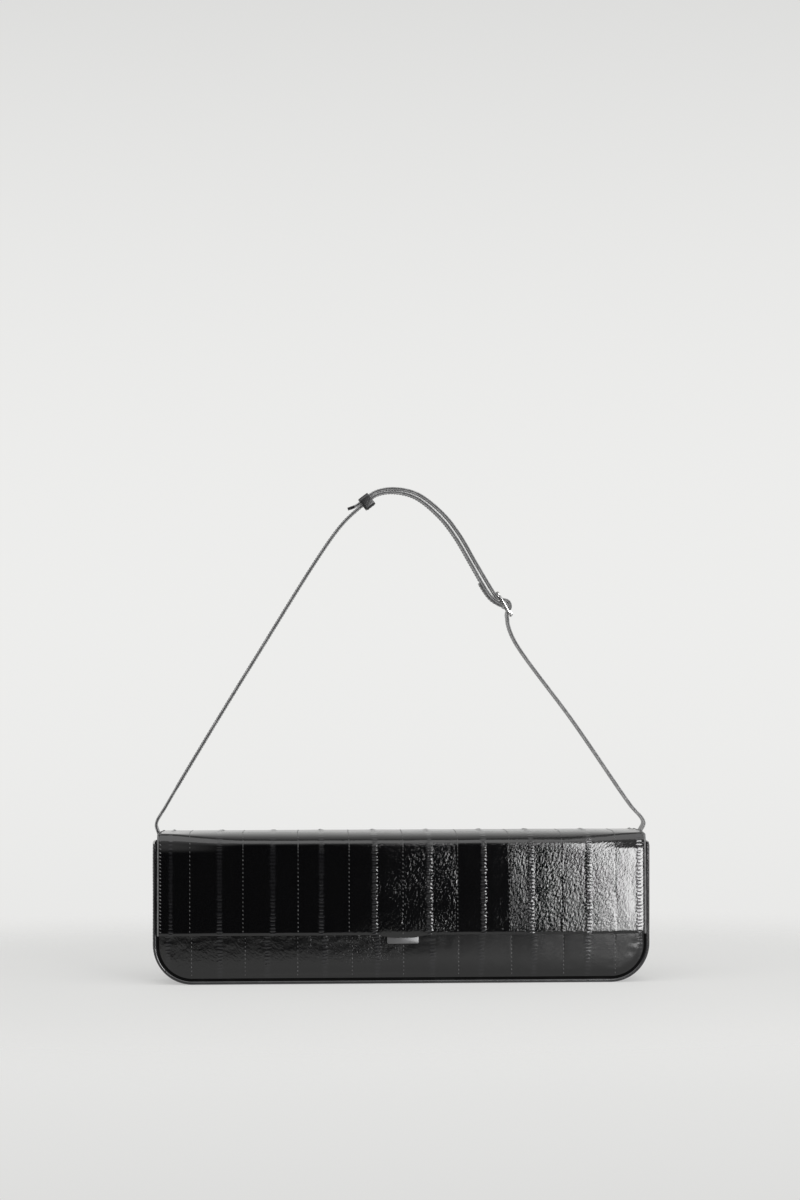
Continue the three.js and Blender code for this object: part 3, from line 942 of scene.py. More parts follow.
FLAP_PLAN = StripPlan(
    marks=(
        -155.9, -143.1, -123.0, -107.5, -87.3, -70.5, -55.0, -36.2, -19.1, 0.1,
        17.8, 37.0, 54.5, 71.9, 86.2, 107.6, 125.7, 143.9, 160.0,
    ),
    lifts=(-0.25, 0.0, 0.05, 0.0, 0.08, 0.05, -0.28, 0.28, 0.08, -0.5, -1.2),
)
WALL_PLAN = StripPlan(
    marks=(
        -159.7, -143.6, -124.1, -107.2, -92.5, -71.5, -52.8, -34.3, -17.1, 0.7,
        20.6, 38.4, 53.5, 74.7, 89.8, 110.4, 126.8, 146.0, 163.5,
    ),
    lifts=(0.0, 0.05, -0.05, 0.04, 0.0, 0.06, -0.04, 0.05, 0.0, 0.03, -0.1),
)


class Side(Enum):
    """The two faces of the body, by the way that they look along Y."""

    FRONT = -1
    BACK = 1


@dataclass
class Body:
    """The walls, welts and lining."""

    half_width: float = 170.0
    height: float = 96.0
    half_depth: float = 20.0
    corner: float = 27.0
    wall_inset: float = 4.4
    wall_thickness: float = 1.2
    wall_rim: float = 0.35
    wall_dip: float = 0.5
    wall_rows: int = 68
    sewn_margin: float = 4.5
    pucker: float = 0.16
    wall_slack: float = 0.12
    wall_top: float = 95.0
    back_top: float = 92.2
    belly: float = 3.2
    gusset_half: float = 16.3
    gusset_thickness: float = 1.4
    gusset_rim: float = 0.3
    gusset_dip: float = 0.25
    stitch_inset: float = 1.6
    stitch_end: float = 2.0
    seam_margin: float = 1.0
    welt_inset: float = 1.45
    welt_radius: float = 1.25
    welt_steps: int = 260
    welt_tuck: float = 1.6
    flange_inset: float = 3.5
    flange_half: float = 1.7
    flange_thickness: float = 0.2
    flange_face: float = 18.95
    lining_half: float = 166.2
    lining_face: float = 17.0
    lining_base: float = 3.8
    lining_thickness: float = 0.7
    lining_fillet: float = 4.0
    lining_corner: float = 5.0
    lining_slack: float = 1.1
    pocket_half: float = 65.0
    pocket_low: float = 23.0
    pocket_high: float = 81.0
    pocket_face: float = 16.1
    pocket_corner: float = 8.0
    pocket_thickness: float = 0.8
    pocket_rim: float = 0.25
    pocket_gape: float = 1.4
    pocket_gap: float = 0.9
    pocket_stitch: float = 2.0
    pocket_hem: float = 3.0

    def build(self) -> None:
        """Makes every piece of the body."""
        self.wall(Side.FRONT, self.wall_top)
        self.wall(Side.BACK, self.back_top)
        self.gusset()
        for side in Side:
            self.welt(side)
        self.lining()
        self.pocket()

    def edge_distance(self, x: float, z: float) -> float:
        """How far a point of a wall is from the wall's sewn sides, corners and base."""
        half = self.half_width - self.wall_inset
        radius = self.corner - self.wall_inset
        beyond = abs(x) - (half - radius)
        below = self.corner - z
        if beyond > 0 and below > 0:
            return radius - math.hypot(beyond, below)
        return min(half - abs(x), z - self.wall_inset)

    def wall_point(self, side: Side, strips: float, z: float) -> Vector:
        """A point on a wall, which bellies out and dips to its welt."""
        x = WALL_PLAN.x(strips)
        to_edge = self.edge_distance(x, z)
        across = 1 - min(1.0, abs(x) / self.half_width) ** 4
        down = min(1.0, max(0.0, (self.wall_top - z) / (self.wall_top - self.wall_inset)))
        slump = mix(1.0, 0.4, ease(-20.0, 80.0, x))
        belly = self.belly * slump * across * down**1.3 * (1 - down**16)
        inside = ease(0.0, self.sewn_margin, to_edge)
        pucker = self.pucker * ripple(x / 5, z / 5, 2.0) * ease(14.0, 3.0, to_edge)
        folds = ripple(x / 7, z / 4.2, 6.0) * ease(19.0, 29.0, z) * ease(60.0, 10.0, x)
        below_top = ease(0.0, 5.0, self.height - z)
        relief = WALL_PLAN.relief(strips, z) * 0.8 + pucker + self.wall_slack * folds
        dip = self.wall_dip * (1 - inside)
        stand = self.half_depth + belly * inside - dip + relief * inside * below_top
        return Vector((x, side.value * stand, z))

    def wall(self, side: Side, top: float) -> None:
        """Makes the front or the back wall with its sewn strips."""
        half = self.half_width - self.wall_inset
        ends = WALL_PLAN.strips(side.value * half), WALL_PLAN.strips(-side.value * half)
        run = Span(self.wall_inset, top, self.wall_rows)
        bm = draped(Span(*ends, SHEET_COLUMNS), run, lambda s, z: self.wall_point(side, s, z))
        round_lower_corners(bm, half, self.wall_inset, self.corner - self.wall_inset)
        thicken(bm, self.wall_thickness, self.wall_rim)
        for seam in WALL_PLAN.seams(half):
            SEAM_STITCH.row(
                bm,
                lambda z, s=seam: self.wall_point(side, s, z),
                lambda z: Y_AXIS * side.value,
                (self.wall_inset + self.seam_margin, top - self.seam_margin),
            )
        name = side.name.lower()
        piece = assemble(f"{name}_wall", bm, CALM_DRESS)
        hand_over(piece, "bag", "shell_leather", f"{name}_panel")

    @cached_property
    def side_run(self) -> float:
        """Length of the straight part of a side."""
        return self.height - self.corner

    def outline(self, along: float, inset: float) -> tuple[Vector, Vector]:
        """The bag's outline, down the left side, along the base and up the right side.

        Args:
            along: length from the top of the left side, on the outline itself.
            inset: how far inside the outline the point lies.

        Returns:
            The point and the way out of the bag, both in X and Z.
        """
        arc = self.corner * TURN / 4
        base = 2 * (self.half_width - self.corner)
        half_way = self.side_run + arc + base / 2
        back = along > half_way
        if back:
            along = 2 * half_way - along
        sign = 1 if back else -1
        radius = self.corner - inset
        if along < self.side_run:
            point = Vector((self.half_width - inset, self.height - along))
            out = Vector((1, 0))
        elif along < self.side_run + arc:
            angle = (along - self.side_run) / self.corner
            out = Vector((math.cos(angle), -math.sin(angle)))
            point = Vector((self.half_width - self.corner, self.corner)) + out * radius
        else:
            gone = along - self.side_run - arc
            point = Vector((self.half_width - self.corner - gone, inset))
            out = Vector((0, -1))
        point.x *= sign
        out.x *= sign
        return point, out

    @cached_property
    def outline_length(self) -> float:
        """Length of the outline from top to top."""
        return 2 * (self.side_run + self.corner * TURN / 4 + self.half_width - self.corner)

    def gusset_point(self, y: float, along: float) -> Vector:
        """A point on the gusset, whose leather is a little slack."""
        point, out = self.outline(along, 0.0)
        share = 1 - (y / self.gusset_half) ** 2
        on_base = ease(0.3, 0.9, -out.y)
        slack = share * (1 - on_base) * (0.35 + 0.4 * ripple(along / 24, y / 14, 5.0))
        dip = -self.gusset_dip * (1 - share) ** 3
        move = out * (slack + dip * (1 - on_base))
        return Vector((point.x + move.x, y, max(0.0, point.y + move.y)))

    def gusset(self) -> None:
        """Makes the band round the sides and the base in one length."""
        bm = draped(
            Span(-self.gusset_half, self.gusset_half, 24),
            Span(0.0, self.outline_length, 340),
            self.gusset_point,
            lambda y: 0.5 + y / STRIP_WIDTH,
        )
        thicken(bm, self.gusset_thickness, self.gusset_rim)
        inset = self.gusset_half - self.stitch_inset
        for y in (-inset, inset):
            EDGE_STITCH.row(
                bm,
                lambda a, y=y: self.gusset_point(y, a),
                lambda a: upright(self.outline(a, 0)[1]),
                (self.stitch_end, self.outline_length - self.stitch_end),
            )
        piece = assemble("gusset_band", bm, CALM_DRESS)
        hand_over(piece, "bag", "shell_leather", "left_gusset", "base_gusset", "right_gusset")

    def welt(self, side: Side) -> None:
        """Makes a corded welt with tucked ends, and behind it a black matt strip as painted shade
        of the gap.
        """
        face = side.value * (self.half_depth - self.welt_inset)
        cord, flange = [], []
        for i in range(self.welt_steps + 1):
            along = self.outline_length * i / self.welt_steps
            point, out = self.outline(along, self.flange_inset)
            place = upright(point, side.value * self.flange_face)
            flange.append(station(Y_AXIS, upright(out), place))
            point, out = self.outline(along, self.welt_inset)
            gone = min(along, self.outline_length - along)
            width = math.sqrt(1 - (1 - min(1.0, (gone + 0.12) / self.welt_tuck)) ** 2)
            plump = 1 + 0.012 * ripple(along / 3.1, side.value)
            cord.append(station(Y_AXIS, upright(out), upright(point, face), width * plump))
        name = side.name.lower()
        bm = swept(superellipse(self.welt_radius, self.welt_radius, 14, 2.0), cord)
        # The flange strip is dressed black as painted shade of the gap between wall and welt.
        strip = superellipse(self.flange_thickness, self.flange_half, 8, 2.5)
        join(bm, swept(strip, flange), 1)
        piece = assemble(f"{name}_welt", bm, (WELT, WELT_GAP_SHADE))
        hand_over(piece, "bag", "shell_leather", f"{name}_piping")

    def lining_point(self, around: float, share: float) -> Vector:
        """A point on the lining, which hangs a little slack between its corners."""
        z = mix(self.lining_base, self.wall_top, share**1.7)
        deep = z - self.lining_base
        radius = self.corner - self.lining_base
        half = self.lining_half - radius + math.sqrt(radius**2 - max(0.0, radius - deep) ** 2)
        fillet, corner = self.lining_fillet, self.lining_corner
        face = self.lining_face - fillet + math.sqrt(fillet**2 - max(0.0, fillet - deep) ** 2)
        flat = 2 * (half - corner)
        turn = corner * TURN / 4
        end = 2 * (face - corner)
        total = 2 * (flat + end) + 4 * turn
        at = around * total
        half_round = total / 2
        flip = at >= half_round
        at -= half_round if flip else 0
        if at < flat:
            x, y = at - flat / 2, -face
            folds = 0.5 + 0.5 * ripple(x / 46, z / 30, 3.0 + flip)
            slack = math.sin(math.pi * at / flat) * folds
            y += self.lining_slack * slack * math.sin(math.pi * min(1.0, share))
        elif at < flat + turn:
            angle = (at - flat) / corner
            x = flat / 2 + corner * math.sin(angle)
            y = -face + corner * (1 - math.cos(angle))
        elif at < flat + turn + end:
            x, y = half, at - flat - turn - end / 2
        else:
            angle = (at - flat - turn - end) / corner
            x = half - corner * (1 - math.cos(angle))
            y = face - corner * (1 - math.sin(angle))
        return Vector((-x, -y, z)) if flip else Vector((x, y, z))

    def lining(self) -> None:
        """Makes the lining as one lofted shell, open at the mouth."""
        bm = draped(Span(0.0, 1.0, 260), Span(0.0, 1.0, 34), self.lining_point)
        bmesh.ops.remove_doubles(bm, verts=bm.verts, dist=0.01)
        floor = self.lining_base + 0.01
        low = [edge for edge in bm.edges if edge.is_boundary and edge.verts[0].co.z < floor]
        bmesh.ops.edgeloop_fill(bm, edges=low)
        bmesh.ops.recalc_face_normals(bm, faces=bm.faces)
        bmesh.ops.solidify(bm, geom=bm.faces[:], thickness=self.lining_thickness)
        hand_over(assemble("lining_shell", bm, (SUEDE,)), "bag", "lining", "lining")

    def pocket_point(self, x: float, z: float) -> Vector:
        """A point on the slip pocket, whose mouth stands off the lining."""
        rise = (z - self.pocket_low) / (self.pocket_high - self.pocket_low)
        gape = self.pocket_gape * rise**3 * (1 - (x / self.pocket_half) ** 2)
        return Vector((x, self.pocket_face - self.pocket_thickness - gape - self.pocket_gap, z))

    def pocket(self) -> None:
        """Makes the slip pocket, sewn to the lining on three sides."""
        half, low, high = self.pocket_half, self.pocket_low, self.pocket_high
        bm = draped(Span(-half, half, 60), Span(low, high, 30), self.pocket_point)
        radius, inset = self.pocket_corner, self.pocket_stitch
        round_lower_corners(bm, half, low, radius)
        thicken(bm, self.pocket_thickness, self.pocket_rim)
        for x in (inset - half, half - inset):
            run = (low + radius, high - self.seam_margin)
            EDGE_STITCH.row(
                bm,
                lambda z, x=x: self.pocket_point(x, z),
                lambda z: -Y_AXIS,
                run,
                CLOTH_THREAD_SIDE,
            )
        for z, end in ((low + inset, half - radius), (high - self.pocket_hem, half - inset)):
            EDGE_STITCH.row(
                bm,
                lambda x, z=z: self.pocket_point(x, z),
                lambda x: -Y_AXIS,
                (-end, end),
                CLOTH_THREAD_SIDE,
            )
        piece = assemble("pocket_cloth", bm, CLOTH_DRESS)
        hand_over(piece, "bag", "lining", "slip_pocket")


@dataclass
class Flap:
    """The flap: its root on the back, its top with a soft front roll, its front and its lining."""

    half_width: float = 165.0
    back_face: float = 20.0
    root_low: float = 92.5
    back_roll: float = 9.0
    top: float = 103.1
    front_roll: float = 10.0
    front_face: float = -23.8
    front_drop: float = 59.1
    lean: float = math.radians(2.4)
    thickness: float = 2.75
    rim: float = 0.6
    row_pitch: float = 1.05
    lining_thickness: float = 0.5
    lining_gap: float = 0.05
    lining_pitch: float = 1.6
    lining_margin: float = 2.4
    lining_hem: float = 1.2
    lining_stitch: float = 1.6
    lining_turn: float = 5.0
    roll_power: float = 3.4
    roll_turn: float = 0.94
    roll_ease: float = 5.5
    roll_ease_range: float = 11.0
    side_round: float = 2.6
    side_drop: float = 0.9
    side_stitch: float = 2.1
    root_stitch: float = 2.0
    root_margin: float = 4.0
    edge_margin: float = 1.5
    edge_roll: float = 1.7
    edge_turn: float = 0.25
    sag: float = 0.5
    end_start: float = 105.0
    end_crease: float = 3.5
    end_slope: float = 15.1
    end_turn: float = math.radians(50)
    split_y: float = -2.0
    flare: float = 0.012
    knot_height: float = 0.6
    knot_half_width: float = 1.3
    knot_half_length: float = 7.0
    clasp_tuck: float = 0.75
    clasp_drop: float = 2.0
    clasp_reach: float = 13.5
    clasp_drop_from: float = 0.72
    clasp_tuck_from: float = 0.925

    @cached_property
    def lengths(self) -> list[float]:
        """Lengths of the flap's stretches: root, back roll, top, front roll and front."""
        return [
            self.top - self.back_roll - self.root_low,
            self.back_roll * TURN / 4,
            (self.back_face - self.back_roll) - (self.front_face + self.front_roll),
            self.front_roll * TURN / 4,
            self.front_drop,
        ]

    @cached_property
    def fold(self) -> float:
        """Length along the flap of the end of its back roll."""
        return sum(self.lengths[:2])

    @cached_property
    def fold_y(self) -> float:
        """The place in Y of the end of its back roll."""
        return self.back_face - self.back_roll

    @cached_property
    def low(self) -> float:
        """The height at which its front starts under the front roll."""
        return self.top - self.front_roll

    @cached_property
    def split(self) -> float:
        """Length along the flap of the line across its top where its two halves meet."""
        return self.fold + self.fold_y - self.split_y

    @cached_property
    def end(self) -> float:
        """Length of the whole flap."""
        return sum(self.lengths)

    def stretch(self, along: float) -> tuple[int, float]:
        """Which stretch a length falls in, and the share of that stretch."""
        index, last = 0, len(self.lengths) - 1
        while index < last and along > self.lengths[index]:
            along -= self.lengths[index]
            index += 1
        return index, along / self.lengths[index]

    def end_profile(self, turn: float) -> tuple[float, float]:
        """How far forward and down the crisp roll at the flap's ends has come at a turn."""
        first = min(turn, self.end_turn)
        crease, slope = self.end_crease, self.end_slope
        forward = crease * math.sin(first) + slope * (math.sin(turn) - math.sin(first))
        down = crease * (1 - math.cos(first)) + slope * (math.cos(first) - math.cos(turn))
        return forward, down

    def middle_profile(self, index: int, share: float) -> Vector:
        """A point in Y and Z of the soft slope from the back fold to the front."""
        power = self.roll_power
        if index == 2:
            forward = self.roll_turn * share
            high = (1 - forward**power) ** (1 / power)
        else:
            high = (1 - self.roll_turn**power) ** (1 / power) * (1 - share)
            forward = (1 - high**power) ** (1 / power)
        y = mix(self.fold_y, self.front_face, forward)
        return Vector((y, self.low + self.front_roll * high))

    def crisp_profile(self, index: int, share: float) -> Vector:
        """A point in Y and Z of the flat top and the crisp roll at the flap's ends."""
        reach, drop = self.end_profile(TURN / 4)
        start = self.front_face + reach
        if index == 2:
            return Vector((mix(self.fold_y, start, share), self.top))
        forward, down = self.end_profile(share * TURN / 4)
        return Vector((start - forward, self.top - down * self.front_roll / drop))

    def profile(self, x: float, along: float, bulge: float = 1.0) -> Vector:
        """A point of the plain form, eased where the roll meets the front."""
        from_roll = abs(along - self.end + self.front_drop)
        reach = self.roll_ease * (1 - ease(0.0, self.roll_ease_range, from_roll))
        if reach < 0.05:
            return self.form(x, along, bulge)
        taps = (-1, -0.5, 0, 0.5, 1)
        points = (self.form(x, along + tap * reach, bulge) for tap in taps)
        return sum(points, Vector()) / len(taps)

    def form(self, x: float, along: float, bulge: float) -> Vector:
        """A point of the flap's plain form.

        Args:
            x: the place across.
            along: the place along.
            bulge: the share of the bulge over the clasp.

        Returns:
            The point.
        """
        index, share = self.stretch(along)
        x *= 1 + self.flare * ease(self.fold + 1, self.fold + 12, along)
        if index == 0:
            return Vector((x, self.back_face, self.root_low + share * self.lengths[0]))
        if index == 1:
            angle = share * TURN / 4
            return Vector((
                x,
                self.fold_y + self.back_roll * math.cos(angle),
                self.top - self.back_roll + self.back_roll * math.sin(angle),
            ))
        if index in (2, 3):
            near_end = ease(self.end_start, self.half_width, abs(x))
            sag = self.sag * (1 - (abs(x) / self.half_width) ** 3)
            middle, crisp = self.middle_profile(index, share), self.crisp_profile(index, share)
            point = middle.lerp(crisp, near_end)
            return Vector((x, point.x, point.y - sag * math.sin(math.pi * (share + index - 2) / 2)))
        near_clasp = bulge * self.near_clasp(x)
        extra = self.clasp_drop * near_clasp * ease(self.clasp_drop_from, 1.0, share)
        drop = share * self.front_drop + extra
        tuck = self.clasp_tuck * near_clasp * ease(self.clasp_tuck_from, 1.02, share)
        y = self.front_face - drop * math.sin(self.lean) + tuck
        return Vector((x, y, self.low - drop * math.cos(self.lean)))

    def near_clasp(self, x: float) -> float:
        """How far the clasp shapes the flap: 1 over the clasp and 0 away from it."""
        return math.exp(-((x / self.clasp_reach) ** 4))

    def outward(self, x: float, along: float) -> Vector:
        """The way out of the flap's outer face."""
        ahead = self.profile(x, along + 0.2) - self.profile(x, along - 0.2)
        return ahead.cross(Vector((1, 0, 0))).normalized()

    def face_point(self, strips: float, along: float) -> Vector:
        """A point of the flap's outer face."""
        x = FLAP_PLAN.x(strips)
        off_ridge = (strips - math.floor(strips) - 0.5) * STRIP_WIDTH / self.knot_half_width
        off_fold = (along - self.fold) / self.knot_half_length
        knot = self.knot_height * math.exp(-(off_ridge**2)) * math.exp(-(off_fold**2))
        lean = ease(self.fold + 6, self.end - self.front_drop, along)
        past = max(0.0, abs(x) - self.half_width + self.side_round) / self.side_round
        near_edge = max(0.0, along - self.end + self.edge_roll) / self.edge_roll
        turn = self.edge_turn * near_edge**2 * (1 - self.near_clasp(x))
        rounding = self.side_drop * past**2 + turn
        relief = FLAP_PLAN.relief(strips, along, lean) + knot - rounding
        return self.profile(x, along) + self.outward(x, along) * relief

    def layer_point(self, x: float, along: float, depth: float) -> Vector:
        """A point under the flap's outer face."""
        return self.profile(x, along, 0.0) - self.outward(x, along) * depth

    @property
    def back_bend(self) -> Bend:
        """Where the flap folds at the back."""
        y = self.fold_y
        return Bend("bag", "flap_top", (0, y + 5, self.top), (0, y - 7, self.top))

    @property
    def front_bend(self) -> Bend:
        """Where the flap folds at its front roll."""
        y = self.front_face
        return Bend("flap_top", "flap_front", (0, y, self.low + 2), (0, y, self.low - 6))

    def build(self) -> None:
        """Makes the leather and the lining, each in two lengths that meet on the flap's top."""
        self.leather("flap_back_leather", (0.0, self.split), self.back_bend, "flap_root")
        nodes = "flap_top", "flap_front", "flap_board"
        self.leather("flap_front_leather", (self.split, self.end), self.front_bend, *nodes)
        hem = self.fold - self.lining_turn
        self.lining("flap_back_lining", (hem, self.split), self.back_bend)
        self.lining(
            "flap_front_lining_cloth",
            (self.split, self.end - self.lining_hem),
            self.front_bend,
            "flap_top_lining",
            "flap_front_lining",
        )

    def leather(self, name: str, run: tuple[float, float], bend: Bend, *nodes: str) -> None:
        """Makes one length of the flap's leather with its seams and side stitching.

        Args:
            name: of the piece.
            run: lengths along the flap where it starts and ends.
            bend: where it folds.
            nodes: the CAD nodes that it stands for.
        """
        half = self.half_width
        ends = FLAP_PLAN.strips(half), FLAP_PLAN.strips(-half)
        steps = round((run[1] - run[0]) / self.row_pitch)
        bm = draped(Span(*ends, SHEET_COLUMNS), Span(*run, steps), self.face_point)
        thicken(bm, self.thickness, self.rim)
        self.paint_edges(bm)
        first = run[0] + (self.root_margin if run[0] == 0 else 0.0)
        last = run[1] - (self.edge_margin if run[1] == self.end else 0.0)
        rows = [(SEAM_STITCH, seam) for seam in FLAP_PLAN.seams(half)]
        inset = half - self.side_stitch
        rows += [(SIDE_STITCH, FLAP_PLAN.strips(x)) for x in (-inset, inset)]
        for stitch, strips in rows:
            stitch.row(
                bm,
                lambda a, s=strips: self.face_point(s, a),
                lambda a, s=strips: self.outward(FLAP_PLAN.x(s), a),
                (first, last),
            )
        if run[0] == 0:
            EDGE_STITCH.row(
                bm,
                lambda x: self.face_point(FLAP_PLAN.strips(x), self.root_stitch),
                lambda x: Y_AXIS,
                (self.root_margin - half, half - self.root_margin),
            )
        hand_over(assemble(name, bm, DRESS), bend, "shell_leather", *nodes)

    def paint_edges(self, bm: Shape) -> None:
        """Puts edge paint, lightened into a painted highlight, on the flap's cut sides and on its
        lower edge.
        """
        low = self.low - self.front_drop + 3
        for face in bm.faces:
            side_on = abs(face.normal.x) > 0.3
            under = face.normal.z < -0.2 and face.calc_center_median().z < low
            if side_on or under:
                face.material_index = EDGE_SIDE

    def lining(self, name: str, run: tuple[float, float], bend: Bend, *nodes: str) -> None:
        """Makes one length of the flap's lining, inset from the leather's edges.

        Args:
            name: of the piece.
            run: lengths along the flap where it starts and ends.
            bend: where it folds.
            nodes: the CAD nodes that it stands for.
        """
        half = self.half_width - self.lining_margin
        under = self.thickness + self.lining_gap
        depth = under + self.lining_thickness
        rows = round((run[1] - run[0]) / self.lining_pitch)
        bm = draped(
            Span(-half, half, 120),
            Span(*run, rows),
            lambda x, a: self.layer_point(x, a, under),
        )
        pattern = bm.loops.layers.uv[PATTERN]
        inner = {}
        for vert in bm.verts:
            x, along = vert.link_loops[0][pattern].uv
            inner[vert.co.to_tuple(4)] = self.layer_point(x, along, depth)
        for item in bmesh.ops.extrude_face_region(bm, geom=bm.faces[:])["geom"]:
            if isinstance(item, bmesh.types.BMVert):
                item.co = inner[item.co.to_tuple(4)]
        bm.normal_update()
        inset = half - self.lining_stitch
        for x in (-inset, inset):
            EDGE_STITCH.row(
                bm,
                lambda a, x=x: self.layer_point(x, a, depth),
                lambda a, x=x: -self.outward(x, a),
                (run[0] + 1, run[1] - 1),
                CLOTH_THREAD_SIDE,
            )
        hand_over(assemble(name, bm, CLOTH_DRESS), bend, "lining", *nodes)


@dataclass
class Clasp:
    """The metal lip under the flap's lower edge."""

    flap: Flap
    width: float = 21.7
    lip_height: float = 5.0
    lip_top: float = 33.0
    lip_front: float = -22.9
    lip_back: float = -18.9
    corner: float = 1.2
    rounding: float = 0.28
    tongue_width: float = 16.0
    tongue_top: float = 46.0
    tongue_front: float = -22.1
    tongue_back: float = -21.2

    @staticmethod
    def block(bm: Shape, low: Point, high: Point) -> None:
        """Adds a block between two corners."""
        middle = Vector([(a + b) / 2 for a, b in zip(low, high)])
        size = Matrix.Diagonal([b - a for a, b in zip(low, high)] + [1])
        bmesh.ops.create_cube(bm, size=1, matrix=Matrix.Translation(middle) @ size)

    def build(self) -> None:
        """Makes the plate, with its tongue inside the flap."""
        bm = bmesh.new()
        bm.loops.layers.uv.new(PATTERN)
        half, tongue = self.width / 2, self.tongue_width / 2
        low = self.lip_top - self.lip_height
        self.block(bm, (-half, self.lip_front, low), (half, self.lip_back, self.lip_top))
        corners = [
            edge for edge in bm.edges
            if all(vert.co.z < low + 0.1 for vert in edge.verts)
            and edge.verts[0].co.x == edge.verts[1].co.x
        ]
        bevel(bm, corners, self.corner, 5)
        bm.normal_update()
        bevel(bm, sharp_edges(bm, 50), self.rounding)
        self.block(
            bm,
            (-tongue, self.tongue_front, self.lip_top - 1),
            (tongue, self.tongue_back, self.tongue_top),
        )
        pivot = Vector((0, self.flap.front_face, self.flap.low))
        lean = Matrix.Rotation(-self.flap.lean, 4, "X")
        turn = Matrix.Translation(pivot) @ lean @ Matrix.Translation(-pivot)
        bmesh.ops.transform(bm, matrix=turn, verts=bm.verts)
        piece = assemble("clasp_lip", bm, (BRUSHED,), 30.0)
        hand_over(piece, "flap_front", "metal", "clasp_plate")


class Route:
    """A centripetal Catmull-Rom curve through points in X and Z."""

    def __init__(self, points: Iterable[Vector]) -> None:
        """Keeps the points."""
        self.points = [Vector(point) for point in points]

    @property
    def last(self) -> int:
        """Number of the last point."""
        return len(self.points) - 1

    def point(self, at: float) -> Vector:
        """The place at a point's number, or between two of them."""
        p = self.points
        index = min(max(math.floor(at), 0), self.last - 1)
        share = at - index
        before = p[index - 1] if index > 0 else 2 * p[0] - p[1]
        after = p[index + 2] if index + 2 <= self.last else 2 * p[-1] - p[-2]
        knots = [before, p[index], p[index + 1], after]
        gaps = [max(1e-4, (b - a).length ** 0.5) for a, b in zip(knots, knots[1:])]
        start = (
            (knots[1] - knots[0]) / gaps[0]
            - (knots[2] - knots[0]) / (gaps[0] + gaps[1])
            + (knots[2] - knots[1]) / gaps[1]
        ) * gaps[1]
        end = (
            (knots[2] - knots[1]) / gaps[1]
            - (knots[3] - knots[1]) / (gaps[1] + gaps[2])
            + (knots[3] - knots[2]) / gaps[2]
        ) * gaps[1]
        square = -3 * knots[1] + 3 * knots[2] - 2 * start - end
        cube = 2 * knots[1] - 2 * knots[2] + start + end
        return knots[1] + start * share + square * share**2 + cube * share**3

    def ahead(self, at: float) -> Vector:
        """The way that the curve runs."""
        low, high = max(0.0, at - 0.002), min(float(self.last), at + 0.002)
        return (self.point(high) - self.point(low)).normalized()

    def left(self, at: float) -> Vector:
        """The way square to the curve, on its left."""
        ahead = self.ahead(at)
        return Vector((-ahead.y, ahead.x))

    def spaced(self, first: float, last: float, pitch: float) -> list[float]:
        """Places along the curve that are about one pitch apart, both ends included."""
        steps = 1200
        fine = [mix(first, last, i / steps) for i in range(steps + 1)]
        gone = [0.0]
        for a, b in zip(fine, fine[1:]):
            gone.append(gone[-1] + (self.point(b) - self.point(a)).length)
        count = max(1, round(gone[-1] / pitch))
        places, index = [], 0
        for i in range(count + 1):
            want = gone[-1] * i / count
            while index < len(gone) - 2 and gone[index + 1] < want:
                index += 1
            step = gone[index + 1] - gone[index]
            share = min(1.0, (want - gone[index]) / step) if step else 0.0
            places.append(mix(fine[index], fine[index + 1], share))
        return places


